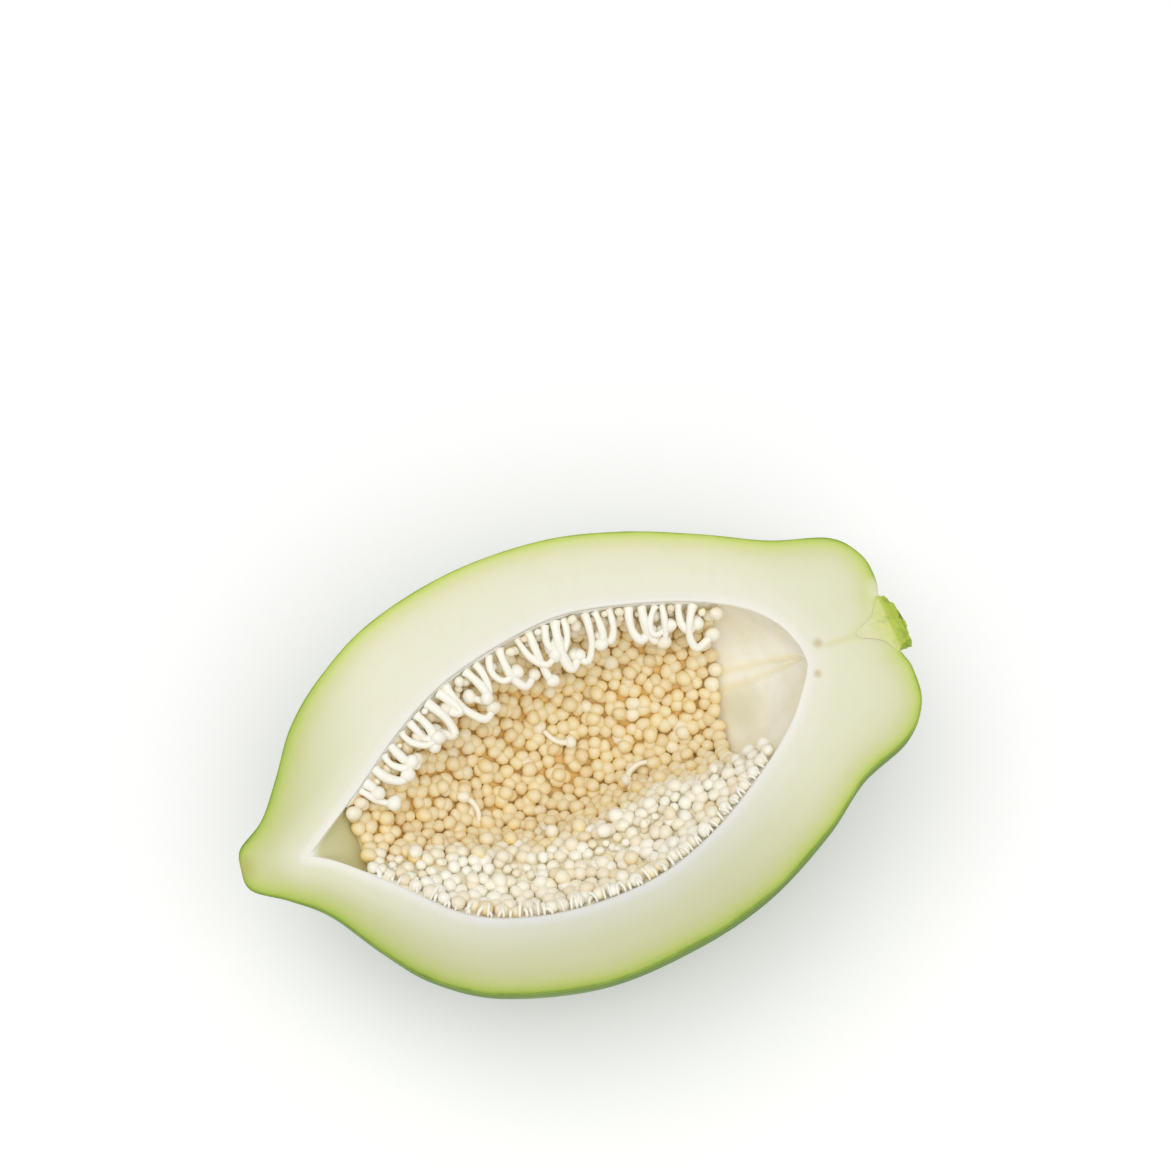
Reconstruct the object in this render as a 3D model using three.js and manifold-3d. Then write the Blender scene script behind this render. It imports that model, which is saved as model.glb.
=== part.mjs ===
// A green papaya cut in half lengthwise, lying on its back with the cut face up.
// Millimetres, +Z up. The fruit is drawn from its blossom tip at x = 0 to its stalk end, with the
// knife's cut at z = 0 and the half below it. The group then moves it, so that the middle of the
// small flat foot is the origin. Back is +Y and front is -Y.
import * as THREE from "three";
import { mergeVertices } from "three/addons/utils/BufferGeometryUtils.js";
import Module from "manifold-3d";

const wasm = await Module();
wasm.setup();

// Outlines of the skin at the back cut edge, the front cut edge and down the belly: distance from
// the blossom tip, and distance from the fruit's axis
const SKIN = {
  back: [
    [0, 0], [1.8, 5], [10.5, 11], [18.5, 21.5], [28.5, 36], [42.5, 48], [62.5, 58.8], [91, 65.3],
    [121, 65], [146, 58.8], [169, 49], [188, 39.5], [206, 33.5], [213.2, 25], [214.4, 16],
    [212.8, 9], [212, 0],
  ],
  front: [
    [0, 0], [0.5, 8], [10.5, 15.3], [20.5, 24], [31, 39.5], [42, 53], [60, 64.8], [90, 72.6],
    [120, 71.3], [146, 65.2], [170, 53.5], [187, 41.8], [204, 35], [212.2, 26], [213.8, 15],
    [212.6, 9], [212, 0],
  ],
  belly: [
    [0, 0], [1.2, 6], [10, 11.5], [19.5, 21.5], [31, 36.5], [46, 49.5], [66, 60.5], [92, 66.8],
    [119, 68], [146, 62.8], [170, 52], [188, 41], [205, 34.5], [212.6, 26], [214, 15.5],
    [212.7, 9], [212, 0],
  ],
  axisY: [0, 0],
};

// Outlines of the seed cavity, in the same way, from an axis that leans a little
const CAVITY = {
  back: [
    [20, 0], [28, 5], [42, 14.2], [58, 25.5], [76, 34.9], [97, 40.1], [118, 41.8], [138, 37.5],
    [157, 30.8], [171.5, 22.9], [180, 14], [183.6, 5.5], [184.2, 0],
  ],
  front: [
    [20, 0], [28, 5.1], [42, 18.1], [58, 34.1], [76, 42.6], [97, 46.3], [118, 45.5], [138, 39.1],
    [157, 28.5], [171.5, 17.8], [180, 8.2], [183.6, 2.8], [184.2, 0],
  ],
  belly: [
    [20, 0], [28, 5], [42, 16], [58, 29.5], [76, 38.5], [97, 43], [118, 43.8], [138, 38.5],
    [157, 30], [171.5, 20.5], [180, 11.5], [183.6, 4.5], [184.2, 0],
  ],
  axisY: [-4.4, -0.4],
};

// Five soft ribs run along the skin, and five low ridges along the wall of the cavity
const RIBS = 5;
const SKIN_RIB = { turn: THREE.MathUtils.degToRad(18), tip: 0.008, stalk: 0.03 };
const CAVITY_RIDGE = { turn: THREE.MathUtils.degToRad(66), tip: -0.02, stalk: -0.06 };

// The half stands on a small flat foot below its centre of mass
const FOOT_DEPTH = 68;
const FOOT_X = 111;
const FOOT_Y = -3;

// The seed bed lies on the cavity's wall, and its surface is a shallower bowl than the wall
const WALL_GAP = 0.6;
const BED_START = 0.13;
const BED_END = 0.69;
const BED_AT_RIM = 1.6;
const BED_ON_FLOOR = 8;
const BED_FRONT_MOUND = 5;
const BACK_RIM_ANGLES = [3, 9];
const DEEP_ANGLES = [10.5, 146];
const FRONT_RIM_ANGLES = [147, 177];

// Seeds
const SEED_RADIUS = 3.2;
const SEED_SPACING = 6.8;
const SEED_LIFT = 0.5;
const SEED_CLEARANCE = 0.35;
const HANGING_SEEDS = 25;
const HANGING_SEED_RADIUS = 2.35;
const HANGING_STALK_RADIUS = 0.95;

// Cut stub of the fruit's stalk: radius, and distance from the blossom tip, from its pointed root
// in the flesh to its knobbly end, which stands out of the skin
const STUB_Y = 0.8;
const STUB_ROOT = [[0, 201.5], [1.4, 202.6], [2.7, 205.6], [4.7, 208.8], [8.9, 211.6], [9.4, 213]];
const STUB_END = [[9, 215], [7.2, 216.3], [3.6, 216.9], [0, 217]];
const STUB_CLEARANCE = 0.35;
const STUB_KNOBS = 7;
const STUB_KNOB_SHARE = 0.09;

const KNIFE_BLOCK = 500;

const COLOURS = {
  flesh: { color: 0xe3e2c4, roughness: 0.45 },
  deepSeed: { color: 0xe0bf83, roughness: 0.4 },
  whiteSeed: { color: 0xf1e8d2, roughness: 0.4 },
  stub: { color: 0x9db548, roughness: 0.6 },
};

// A repeatable random number from 0 to 1
function randomFrom(seed) {
  let state = seed;
  return () => {
    state = (state + 0x6d2b79f5) | 0;
    let mixed = Math.imul(state ^ (state >>> 15), 1 | state);
    mixed = (mixed + Math.imul(mixed ^ (mixed >>> 7), 61 | mixed)) ^ mixed;
    return ((mixed ^ (mixed >>> 14)) >>> 0) / 4294967296;
  };
}

function solidOf(geometry) {
  const bare = geometry.clone();
  bare.deleteAttribute("normal");
  bare.deleteAttribute("uv");
  const merged = mergeVertices(bare, 1e-4);
  return new wasm.Manifold(
    new wasm.Mesh({
      numProp: 3,
      vertProperties: new Float32Array(merged.attributes.position.array),
      triVerts: new Uint32Array(merged.index.array),
    }),
  );
}

function geometryOf(solid) {
  const { numVert, numProp, vertProperties, triVerts } = solid.getMesh();
  const positions = new Float32Array(numVert * 3);
  for (let i = 0; i < numVert; i++) {
    positions.set(vertProperties.subarray(i * numProp, i * numProp + 3), i * 3);
  }
  const geometry = new THREE.BufferGeometry();
  geometry.setAttribute("position", new THREE.BufferAttribute(positions, 3));
  geometry.setIndex(new THREE.BufferAttribute(triVerts, 1));
  geometry.computeVertexNormals();
  return geometry;
}

function joined(solids) {
  let round = solids;
  while (round.length > 1) {
    const next = [];
    for (let i = 0; i < round.length; i += 2) {
      next.push(i + 1 < round.length ? round[i].add(round[i + 1]) : round[i]);
    }
    round = next;
  }
  return round[0];
}

function curveThrough(points) {
  return new THREE.SplineCurve(points.map(([x, r]) => new THREE.Vector2(x, r)));
}

// A turned surface whose outline changes smoothly from the back, down the belly, to the front.
// t runs from the blossom end to the stalk end and turn from the back cut edge round to the front.
function turnedSurface(outlines, rib) {
  const curves = [outlines.back, outlines.belly, outlines.front].map(curveThrough);
  const start = outlines.back[0][0];
  const end = outlines.back.at(-1)[0];
  return (t, turn) => {
    const cos = Math.cos(turn);
    const weights = [cos > 0 ? cos * cos : 0, 1 - cos * cos, cos < 0 ? cos * cos : 0];
    const at = new THREE.Vector2();
    curves.forEach((curve, k) => at.addScaledVector(curve.getPoint(t), weights[k]));
    const share = (at.x - start) / (end - start);
    const towardsStalk = THREE.MathUtils.smoothstep(share, 0.3, 1);
    const height = THREE.MathUtils.lerp(rib.tip, rib.stalk, towardsStalk);
    const wave = Math.cos(RIBS * (turn - rib.turn)) - Math.cos(RIBS * rib.turn) * cos;
    const radius = at.y * (1 + height * wave);
    const down = Math.abs(Math.sin(turn)) < 1e-9 ? 0 : radius * Math.sin(turn);
    const axisY = THREE.MathUtils.lerp(...outlines.axisY, share);
    return new THREE.Vector3(at.x, axisY + radius * cos, -down);
  };
}

const skin = turnedSurface(SKIN, SKIN_RIB);
const wall = turnedSurface(CAVITY, CAVITY_RIDGE);

// Direction out of the surface, towards the hollow's middle for the cavity's wall
function inwardNormal(surface, t, turn) {
  const step = 1e-3;
  const along = surface(t + step, turn).sub(surface(t - step, turn));
  const round = surface(t, turn + step).sub(surface(t, turn - step));
  return round.cross(along).normalize();
}

// A whole closed turned body, with one point at each end
function turnedBody(surface, along, around) {
  const positions = [surface(0, 0)];
  for (let i = 1; i < along; i++) {
    for (let j = 0; j < around; j++) {
      positions.push(surface(i / along, (2 * Math.PI * j) / around));
    }
  }
  positions.push(surface(1, 0));
  const last = positions.length - 1;
  const at = (i, j) => 1 + (i - 1) * around + (j % around);
  const index = [];
  for (let j = 0; j < around; j++) {
    index.push(0, at(1, j), at(1, j + 1));
    for (let i = 1; i < along - 1; i++) {
      index.push(at(i, j), at(i + 1, j), at(i, j + 1));
      index.push(at(i, j + 1), at(i + 1, j), at(i + 1, j + 1));
    }
    index.push(last, at(along - 1, j + 1), at(along - 1, j));
  }
  return new THREE.BufferGeometry().setFromPoints(positions).setIndex(index);
}

// A closed slab between two sheets over the same patch of t and turn
function slab(lower, upper, [t0, t1], [turn0, turn1], along, around) {
  const positions = [];
  for (const sheet of [lower, upper]) {
    for (let i = 0; i <= along; i++) {
      for (let j = 0; j <= around; j++) {
        const t = THREE.MathUtils.lerp(t0, t1, i / along);
        positions.push(sheet(t, THREE.MathUtils.lerp(turn0, turn1, j / around)));
      }
    }
  }
  const low = (i, j) => i * (around + 1) + j;
  const high = (i, j) => low(i, j) + (along + 1) * (around + 1);
  const index = [];
  const face = (a, b, c, d) => index.push(a, b, c, a, c, d);
  for (let i = 0; i < along; i++) {
    for (let j = 0; j < around; j++) {
      face(low(i, j), low(i + 1, j), low(i + 1, j + 1), low(i, j + 1));
      face(high(i, j), high(i, j + 1), high(i + 1, j + 1), high(i + 1, j));
    }
    face(low(i, 0), high(i, 0), high(i + 1, 0), low(i + 1, 0));
    face(low(i, around), low(i + 1, around), high(i + 1, around), high(i, around));
  }
  for (let j = 0; j < around; j++) {
    face(low(0, j), low(0, j + 1), high(0, j + 1), high(0, j));
    face(low(along, j), high(along, j), high(along, j + 1), low(along, j + 1));
  }
  return new THREE.BufferGeometry().setFromPoints(positions).setIndex(index);
}

function block(minX, maxX, minZ, maxZ) {
  const box = new THREE.BoxGeometry(maxX - minX, KNIFE_BLOCK, maxZ - minZ);
  return solidOf(box.translate((minX + maxX) / 2, 0, (minZ + maxZ) / 2));
}

const aboveKnife = block(-KNIFE_BLOCK, KNIFE_BLOCK, 0, KNIFE_BLOCK);
const belowFoot = block(-KNIFE_BLOCK, KNIFE_BLOCK, -KNIFE_BLOCK, -FOOT_DEPTH);

function turnedStub(profile) {
  return new THREE.LatheGeometry(profile.map(([r, x]) => new THREE.Vector2(r, x)), 20);
}

// The seat in the flesh has the shape of the stub's root, a little larger
function makeSeat() {
  const root = STUB_ROOT.map(([r, x]) => [r > 0 ? r + STUB_CLEARANCE : 0, x - STUB_CLEARANCE]);
  const radius = root.at(-1)[0];
  const profile = [...root, [radius, 230], [0, 230]];
  return solidOf(turnedStub(profile).rotateZ(-Math.PI / 2).translate(0, STUB_Y, 0));
}

// Skin, flesh and the wall of the hollow grew as one piece
function makeFruit() {
  return solidOf(turnedBody(skin, 44, 40))
    .subtract(aboveKnife)
    .subtract(belowFoot)
    .subtract(solidOf(turnedBody(wall, 32, 40)))
    .subtract(makeSeat());
}

// Height of the bed's surface above the wall: low at the rims and at both ends
function bedHeight(t, turn) {
  const { smoothstep } = THREE.MathUtils;
  const sides = smoothstep(turn, 0, 1.1) * smoothstep(Math.PI - turn, 0, 0.7);
  const ends = smoothstep(t - BED_START, 0, 0.14) * smoothstep(BED_END - t, 0, 0.12);
  const floor = BED_ON_FLOOR + BED_FRONT_MOUND * smoothstep(turn, 1.6, 2.4) - BED_AT_RIM;
  return BED_AT_RIM + floor * sides * (0.12 + 0.88 * ends);
}

function liftedWall(height) {
  return (t, turn) => {
    const lift = typeof height === "number" ? height : height(t, turn);
    return wall(t, turn).addScaledVector(inwardNormal(wall, t, turn), lift);
  };
}

const bedUnderside = liftedWall(WALL_GAP);
const bedTop = liftedWall(bedHeight);

function radians([first, last]) {
  return [THREE.MathUtils.degToRad(first), THREE.MathUtils.degToRad(last)];
}

function bedCore(top, angles, along, around) {
  return solidOf(slab(bedUnderside, top, [BED_START, BED_END], radians(angles), along, around));
}

// Seeds stand in rows round the bed, each row filled evenly and a little nudged. The margins are
// the room left free at the back and the front end of each row.
function seedPlaces(angles, [backMargin, frontMargin], random) {
  const { lerp, clamp } = THREE.MathUtils;
  const [first, last] = radians(angles);
  const middle = (first + last) / 2;
  const samples = 80;
  const places = [];
  let t = BED_START + 0.01;
  for (let row = 0; t < BED_END - 0.006; row++) {
    const lengths = [0];
    for (let k = 1; k <= samples; k++) {
      const before = bedTop(t, lerp(first, last, (k - 1) / samples));
      lengths.push(lengths[k - 1] + bedTop(t, lerp(first, last, k / samples)).distanceTo(before));
    }
    const room = lengths[samples] - backMargin - frontMargin;
    const count = Math.max(1, Math.round(room / SEED_SPACING));
    const shift = row % 2 ? 0.5 : 0;
    for (let n = 0; n + shift <= count; n++) {
      const share = clamp((n + shift + (random() - 0.5) * 0.2) / count, 0, 1);
      const k = lengths.findIndex((length) => length >= backMargin + room * share);
      places.push([t + (random() - 0.5) * 0.004, lerp(first, last, k / samples)]);
    }
    const start = bedTop(t, middle);
    while (bedTop(t, middle).distanceTo(start) < SEED_SPACING * 0.87) {
      t += 0.0005;
    }
  }
  return places;
}

// A seed of twenty facets with one corner towards the given direction
function seedAt(centre, outward, radius, random) {
  const seed = new THREE.IcosahedronGeometry(radius, 0);
  const corner = new THREE.Vector3().fromBufferAttribute(seed.attributes.position, 0).normalize();
  const turned = new THREE.Quaternion().setFromAxisAngle(outward, random() * Math.PI);
  turned.multiply(new THREE.Quaternion().setFromUnitVectors(corner, outward));
  return solidOf(seed.applyQuaternion(turned).translate(centre.x, centre.y, centre.z));
}

// Seeds on their white stalks hang from the back rim over the hollow, by turns short and long
function hangingSeeds(random) {
  const { lerp, degToRad, clamp } = THREE.MathUtils;
  const made = [];
  for (let n = 0; n < HANGING_SEEDS; n++) {
    const t = lerp(BED_START + 0.02, BED_END - 0.01, (n + 0.5) / HANGING_SEEDS);
    const turn = degToRad(6);
    const inward = inwardNormal(wall, t, turn);
    const size = clamp((wall(t, 0).y - CAVITY.axisY[0]) / 28, 0.55, 1);
    const long = n % 2 === 0;
    const reach = ((long ? 12 : 8.4) + random() * 1.4) * size;
    const drop = ((long ? 7 : 3) + random() * 1.2) * size;
    const lean = (random() - 0.5) * 5 * size;
    const root = wall(t, turn).addScaledVector(inward, 1.1);
    const point = (out, down, side) =>
      root.clone().addScaledVector(inward, out).add(new THREE.Vector3(side, 0, -down));
    const path = new THREE.QuadraticBezierCurve3(
      root, point(reach * 0.85, -1, lean * 0.2), point(reach, drop, lean),
    );
    made.push({ path, end: path.v2 });
  }
  return made;
}

function stalkSolid(path) {
  const section = new THREE.Shape();
  const r = HANGING_STALK_RADIUS;
  section.moveTo(r, 0).lineTo(0, r).lineTo(-r, 0).lineTo(0, -r).closePath();
  return solidOf(new THREE.ExtrudeGeometry(section, { steps: 3, extrudePath: path }));
}

function distanceToHanging(point, hanging) {
  let least = Infinity;
  for (const { path, end } of hanging) {
    least = Math.min(least, point.distanceTo(end) - HANGING_SEED_RADIUS);
    for (let k = 0; k <= 12; k++) {
      least = Math.min(least, point.distanceTo(path.getPoint(k / 12)) - HANGING_STALK_RADIUS);
    }
  }
  return least;
}

// A thin band along the rim carries the hanging stalks
function makeBackRimSeeds(hanging, random) {
  const pieces = [bedCore(liftedWall(2), BACK_RIM_ANGLES, 24, 1)];
  for (const { path, end } of hanging) {
    const seed = seedAt(end, path.getTangent(1), HANGING_SEED_RADIUS, random);
    pieces.push(stalkSolid(path).add(seed));
  }
  return joined(pieces);
}

// Seeds sunk in their bed, clear of the knife's cut and of what hangs over them
function makeSeedBed(angles, margins, along, around, hanging, random) {
  const pieces = [bedCore(bedTop, angles, along, around)];
  for (const [t, turn] of seedPlaces(angles, margins, random)) {
    const outward = inwardNormal(bedTop, t, turn);
    const centre = bedTop(t, turn).addScaledVector(outward, SEED_RADIUS * SEED_LIFT);
    const clearOfCut = centre.z < -SEED_RADIUS;
    const clear = distanceToHanging(centre, hanging) > SEED_RADIUS + SEED_CLEARANCE;
    if (clearOfCut && clear) {
      pieces.push(seedAt(centre, outward, SEED_RADIUS, random));
    }
  }
  return joined(pieces);
}

function makeStub() {
  const stub = turnedStub([...STUB_ROOT, ...STUB_END]);
  const position = stub.attributes.position;
  for (let i = 0; i < position.count; i++) {
    const turn = Math.atan2(position.getZ(i), position.getX(i));
    const share = position.getY(i) < 212 ? 0 : STUB_KNOB_SHARE;
    const swell = 1 - share + share * Math.cos(STUB_KNOBS * turn);
    position.setX(i, position.getX(i) * swell);
    position.setZ(i, position.getZ(i) * swell);
  }
  return solidOf(stub.rotateZ(-Math.PI / 2).translate(0, STUB_Y, 0)).subtract(aboveKnife);
}

function namedMesh(name, solid, colour) {
  const mesh = new THREE.Mesh(geometryOf(solid), new THREE.MeshStandardMaterial(colour));
  mesh.name = name;
  return mesh;
}

const random = randomFrom(7);
const hanging = hangingSeeds(random);
const deepMargins = [SEED_RADIUS + 0.1, SEED_RADIUS];
const frontMargins = [SEED_RADIUS, SEED_RADIUS * 0.4];
const seedsDeep = makeSeedBed(DEEP_ANGLES, deepMargins, 10, 9, hanging, random);
const seedsFront = makeSeedBed(FRONT_RIM_ANGLES, frontMargins, 12, 2, hanging, random);

const papayaHalf = new THREE.Group();
papayaHalf.name = "papaya_half";
papayaHalf.add(
  namedMesh("fruit_half", makeFruit(), COLOURS.flesh),
  namedMesh("seeds_deep", seedsDeep, COLOURS.deepSeed),
  namedMesh("seeds_front_rim", seedsFront, COLOURS.whiteSeed),
  namedMesh("seeds_back_rim", makeBackRimSeeds(hanging, random), COLOURS.whiteSeed),
  namedMesh("stalk_stub", makeStub(), COLOURS.stub),
);
papayaHalf.position.set(-FOOT_X, -FOOT_Y, FOOT_DEPTH);

export default papayaHalf;
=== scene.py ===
"""Looks of a green papaya cut in half lengthwise, lying on its back with the cut face up.

The fruit is drawn in millimetres in its own frame: the blossom tip at x = 0, the knife's cut at
z = 0, back at +Y and front at -Y. Every mesh is moved to the frame of the solids as it is made.
"""

import logging
import math
from dataclasses import dataclass, field
from enum import Enum
from typing import Any, Callable, Sequence

import bpy
import numpy as np
from mathutils import Matrix, Vector


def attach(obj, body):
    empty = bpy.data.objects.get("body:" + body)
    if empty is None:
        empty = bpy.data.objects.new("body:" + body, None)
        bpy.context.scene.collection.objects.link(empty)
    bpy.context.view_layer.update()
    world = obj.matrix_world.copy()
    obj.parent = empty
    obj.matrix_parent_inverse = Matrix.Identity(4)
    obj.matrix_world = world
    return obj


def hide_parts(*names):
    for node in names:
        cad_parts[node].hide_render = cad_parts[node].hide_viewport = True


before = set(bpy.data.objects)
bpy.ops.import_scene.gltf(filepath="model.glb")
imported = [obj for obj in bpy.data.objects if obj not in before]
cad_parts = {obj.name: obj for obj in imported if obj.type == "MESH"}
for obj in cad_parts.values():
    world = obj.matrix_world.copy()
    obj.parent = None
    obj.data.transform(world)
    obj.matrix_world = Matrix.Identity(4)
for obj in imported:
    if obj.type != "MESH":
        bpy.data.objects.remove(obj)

log = logging.getLogger("papaya_half")
Array = np.ndarray
Triple = tuple[float, float, float]
Colour = tuple[float, float, float, float]
SHIFT_MM = np.array([-111.0, 3.0, 68.0])
FOOT_DEPTH = 68.0
EVEN_STEPS = np.array([0.8191725, 0.6710436, 0.5497005])


class Slot(Enum):
    """Material slots of the record, one for each kind of piece."""

    FLESH = "flesh"
    SEED_TAN = "seed_tan"
    SEED_WHITE = "seed_white"
    STALK = "stalk"


def linear(red: float, green: float, blue: float) -> Colour:
    """Turns a display colour from 0 to 255 into a linear one.

    Args:
        red: red of the display colour.
        green: green of the display colour.
        blue: blue of the display colour.

    Returns:
        The linear colour with full alpha.
    """
    parts = [value / 255 for value in (red, green, blue)]
    bent = [v / 12.92 if v <= 0.04045 else ((v + 0.055) / 1.055) ** 2.4 for v in parts]
    return (bent[0], bent[1], bent[2], 1.0)


def smoothstep(value: Array | float, low: float, high: float) -> Array:
    """Smooth step from 0 at low to 1 at high.

    Args:
        value: where to read the step.
        low: value at which it starts.
        high: value at which it is full.

    Returns:
        The step, in the shape of value.
    """
    share = np.clip((np.asarray(value, float) - low) / (high - low), 0.0, 1.0)
    return share * share * (3 - 2 * share)


def length(vectors: Array) -> Array:
    """Length of each vector in the last axis."""
    return np.linalg.norm(vectors, axis=-1)


def grid(rows: Array, columns: Array) -> list[Array]:
    """Every pair of a row's and a column's value, as two grids."""
    return np.meshgrid(rows, columns, indexing="ij")


def unit(vectors: Array) -> Array:
    """Vectors made one long."""
    return vectors / np.maximum(np.linalg.norm(vectors, axis=-1, keepdims=True), 1e-12)


def half_sine(turn: Array) -> Array:
    """Sine of an angle from 0 to a half turn, exactly 0 at both ends."""
    return np.where(np.abs(np.sin(turn)) < 1e-9, 0.0, np.sin(turn))


def smooth_curve(points: Sequence[Sequence[float]], t: Array) -> Array:
    """Smooth curve through points.

    Args:
        points: what the curve runs through, one row each.
        t: share of the curve, from 0 to 1.

    Returns:
        The curve at t, in the last axis.
    """
    table = np.asarray(points, float)
    last = len(table) - 1
    place = np.clip(np.asarray(t, float), 0, 1) * last
    whole = np.minimum(np.floor(place).astype(int), last)
    w = (place - whole)[..., None]
    p0 = table[np.maximum(whole - 1, 0)]
    p1 = table[whole]
    p2 = table[np.minimum(whole + 1, last)]
    p3 = table[np.minimum(whole + 2, last)]
    v0, v1 = (p2 - p0) / 2, (p3 - p1) / 2
    cubic = (2 * p1 - 2 * p2 + v0 + v1) * w**3
    return cubic + (3 * p2 - 3 * p1 - 2 * v0 - v1) * w**2 + v0 * w + p1


def placed(name: str, data: bpy.types.ID) -> bpy.types.Object:
    """Adds an object to the scene.

    Args:
        name: name of the object.
        data: its mesh, light or camera.

    Returns:
        The new object.
    """
    thing = bpy.data.objects.new(name, data)
    bpy.context.scene.collection.objects.link(thing)
    return thing


class Draw:
    """The seeded draw that the solids use, so that hanging seeds keep their places."""

    def __init__(self, seed: int) -> None:
        """Starts the draw at a whole number."""
        self.state = seed

    def __call__(self) -> float:
        """Draws once.

        Returns:
            The next number, from 0 to 1.
        """
        mask = 0xFFFFFFFF
        self.state = (self.state + 0x6D2B79F5) & mask
        mixed = ((self.state ^ (self.state >> 15)) * (1 | self.state)) & mask
        mixed = ((mixed + (((mixed ^ (mixed >> 7)) * (61 | mixed)) & mask)) & mask) ^ mixed
        return ((mixed ^ (mixed >> 14)) & mask) / 4294967296


@dataclass(frozen=True)
class Rib:
    """Soft ribs or ridges round a turned surface.

    Attributes:
        turn: angle of the first rib, in radians.
        tip: height at the blossom end, as a share of the radius.
        stalk: height at the stalk end.
        count: how many ribs a whole turn has.
    """

    turn: float
    tip: float
    stalk: float
    count: int = 5


@dataclass(frozen=True)
class TurnedSurface:
    """A turned surface whose outline changes from the back, down the belly, to the front.

    Attributes:
        back: distance along the fruit and radius at the back cut edge, in mm.
        belly: the same straight down.
        front: the same at the front cut edge.
        axis_y: where the axis lies across the fruit, at its first and at its last point.
        rib: the ribs of the surface.
    """

    back: Sequence[Sequence[float]]
    belly: Sequence[Sequence[float]]
    front: Sequence[Sequence[float]]
    axis_y: tuple[float, float]
    rib: Rib

    def at(self, t: Array | float, turn: Array | float) -> Array:
        """Points of the surface.

        Args:
            t: share of the outline, from the blossom end to the stalk end.
            turn: angle from the back cut edge round to the front one, in radians.

        Returns:
            Points in mm, in the last axis.
        """
        t, turn = np.broadcast_arrays(np.asarray(t, float), np.asarray(turn, float))
        cos = np.cos(turn)
        square = cos * cos
        profile = (
            smooth_curve(self.back, t) * np.where(cos > 0, square, 0)[..., None]
            + smooth_curve(self.belly, t) * (1 - square)[..., None]
            + smooth_curve(self.front, t) * np.where(cos < 0, square, 0)[..., None]
        )
        along = profile[..., 0]
        start, end = self.back[0][0], self.back[-1][0]
        share = (along - start) / (end - start)
        height = self.rib.tip + (self.rib.stalk - self.rib.tip) * smoothstep(share, 0.3, 1)
        wave = np.cos(self.rib.count * (turn - self.rib.turn))
        wave = wave - math.cos(self.rib.count * self.rib.turn) * cos
        radius = profile[..., 1] * (1 + height * wave)
        middle = self.axis_y[0] + (self.axis_y[1] - self.axis_y[0]) * share
        return np.stack([along, middle + radius * cos, -radius * half_sine(turn)], axis=-1)

    def inward(self, t: Array | float, turn: Array | float) -> Array:
        """Directions from the surface towards the middle of the hollow.

        Args:
            t: share of the outline.
            turn: angle from the back cut edge round to the front one, in radians.

        Returns:
            Directions one long, in the last axis.
        """
        step = 1e-3
        along = self.at(np.asarray(t) + step, turn) - self.at(np.asarray(t) - step, turn)
        around = self.at(t, np.asarray(turn) + step) - self.at(t, np.asarray(turn) - step)
        return unit(np.cross(around, along))


SKIN = TurnedSurface(
    back=[
        [0, 0], [1.8, 5], [10.5, 11], [18.5, 21.5], [28.5, 36], [42.5, 48], [62.5, 58.8],
        [91, 65.3], [121, 65], [146, 58.8], [169, 49], [188, 39.5], [206, 33.5], [213.2, 25],
        [214.4, 16], [212.8, 9], [212, 0],
    ],
    belly=[
        [0, 0], [1.2, 6], [10, 11.5], [19.5, 21.5], [31, 36.5], [46, 49.5], [66, 60.5],
        [92, 66.8], [119, 68], [146, 62.8], [170, 52], [188, 41], [205, 34.5], [212.6, 26],
        [214, 15.5], [212.7, 9], [212, 0],
    ],
    front=[
        [0, 0], [0.5, 8], [10.5, 15.3], [20.5, 24], [31, 39.5], [42, 53], [60, 64.8],
        [90, 72.6], [120, 71.3], [146, 65.2], [170, 53.5], [187, 41.8], [204, 35], [212.2, 26],
        [213.8, 15], [212.6, 9], [212, 0],
    ],
    axis_y=(0.0, 0.0),
    rib=Rib(turn=math.radians(18), tip=0.008, stalk=0.03),
)
WALL = TurnedSurface(
    back=[
        [20, 0], [28, 5], [42, 14.2], [58, 25.5], [76, 34.9], [97, 40.1], [118, 41.8],
        [138, 37.5], [157, 30.8], [171.5, 22.9], [180, 14], [183.6, 5.5], [184.2, 0],
    ],
    belly=[
        [20, 0], [28, 5], [42, 16], [58, 29.5], [76, 38.5], [97, 43], [118, 43.8], [138, 38.5],
        [157, 30], [171.5, 20.5], [180, 11.5], [183.6, 4.5], [184.2, 0],
    ],
    front=[
        [20, 0], [28, 5.1], [42, 18.1], [58, 34.1], [76, 42.6], [97, 46.3], [118, 45.5],
        [138, 39.1], [157, 28.5], [171.5, 17.8], [180, 8.2], [183.6, 2.8], [184.2, 0],
    ],
    axis_y=(-4.4, -0.4),
    rib=Rib(turn=math.radians(66), tip=-0.02, stalk=-0.06),
)


SEEDED_FROM = 0.125
SEEDED_TO_ANGLES = (0, 20, 35, 50, 68, 81, 92, 106, 122, 134, 142, 146, 154, 168, 180)
SEEDED_TO_SHARES = (
    0.716, 0.716, 0.711, 0.703, 0.69, 0.68, 0.67, 0.66, 0.655, 0.66, 0.675, 0.69, 0.71, 0.712, 0.7,
)


def seeded_to(turn: Array | float) -> Array:
    """Share of the hollow's outline up to which seeds cover it, at an angle in radians."""
    return np.interp(np.degrees(turn), SEEDED_TO_ANGLES, SEEDED_TO_SHARES)


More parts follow.
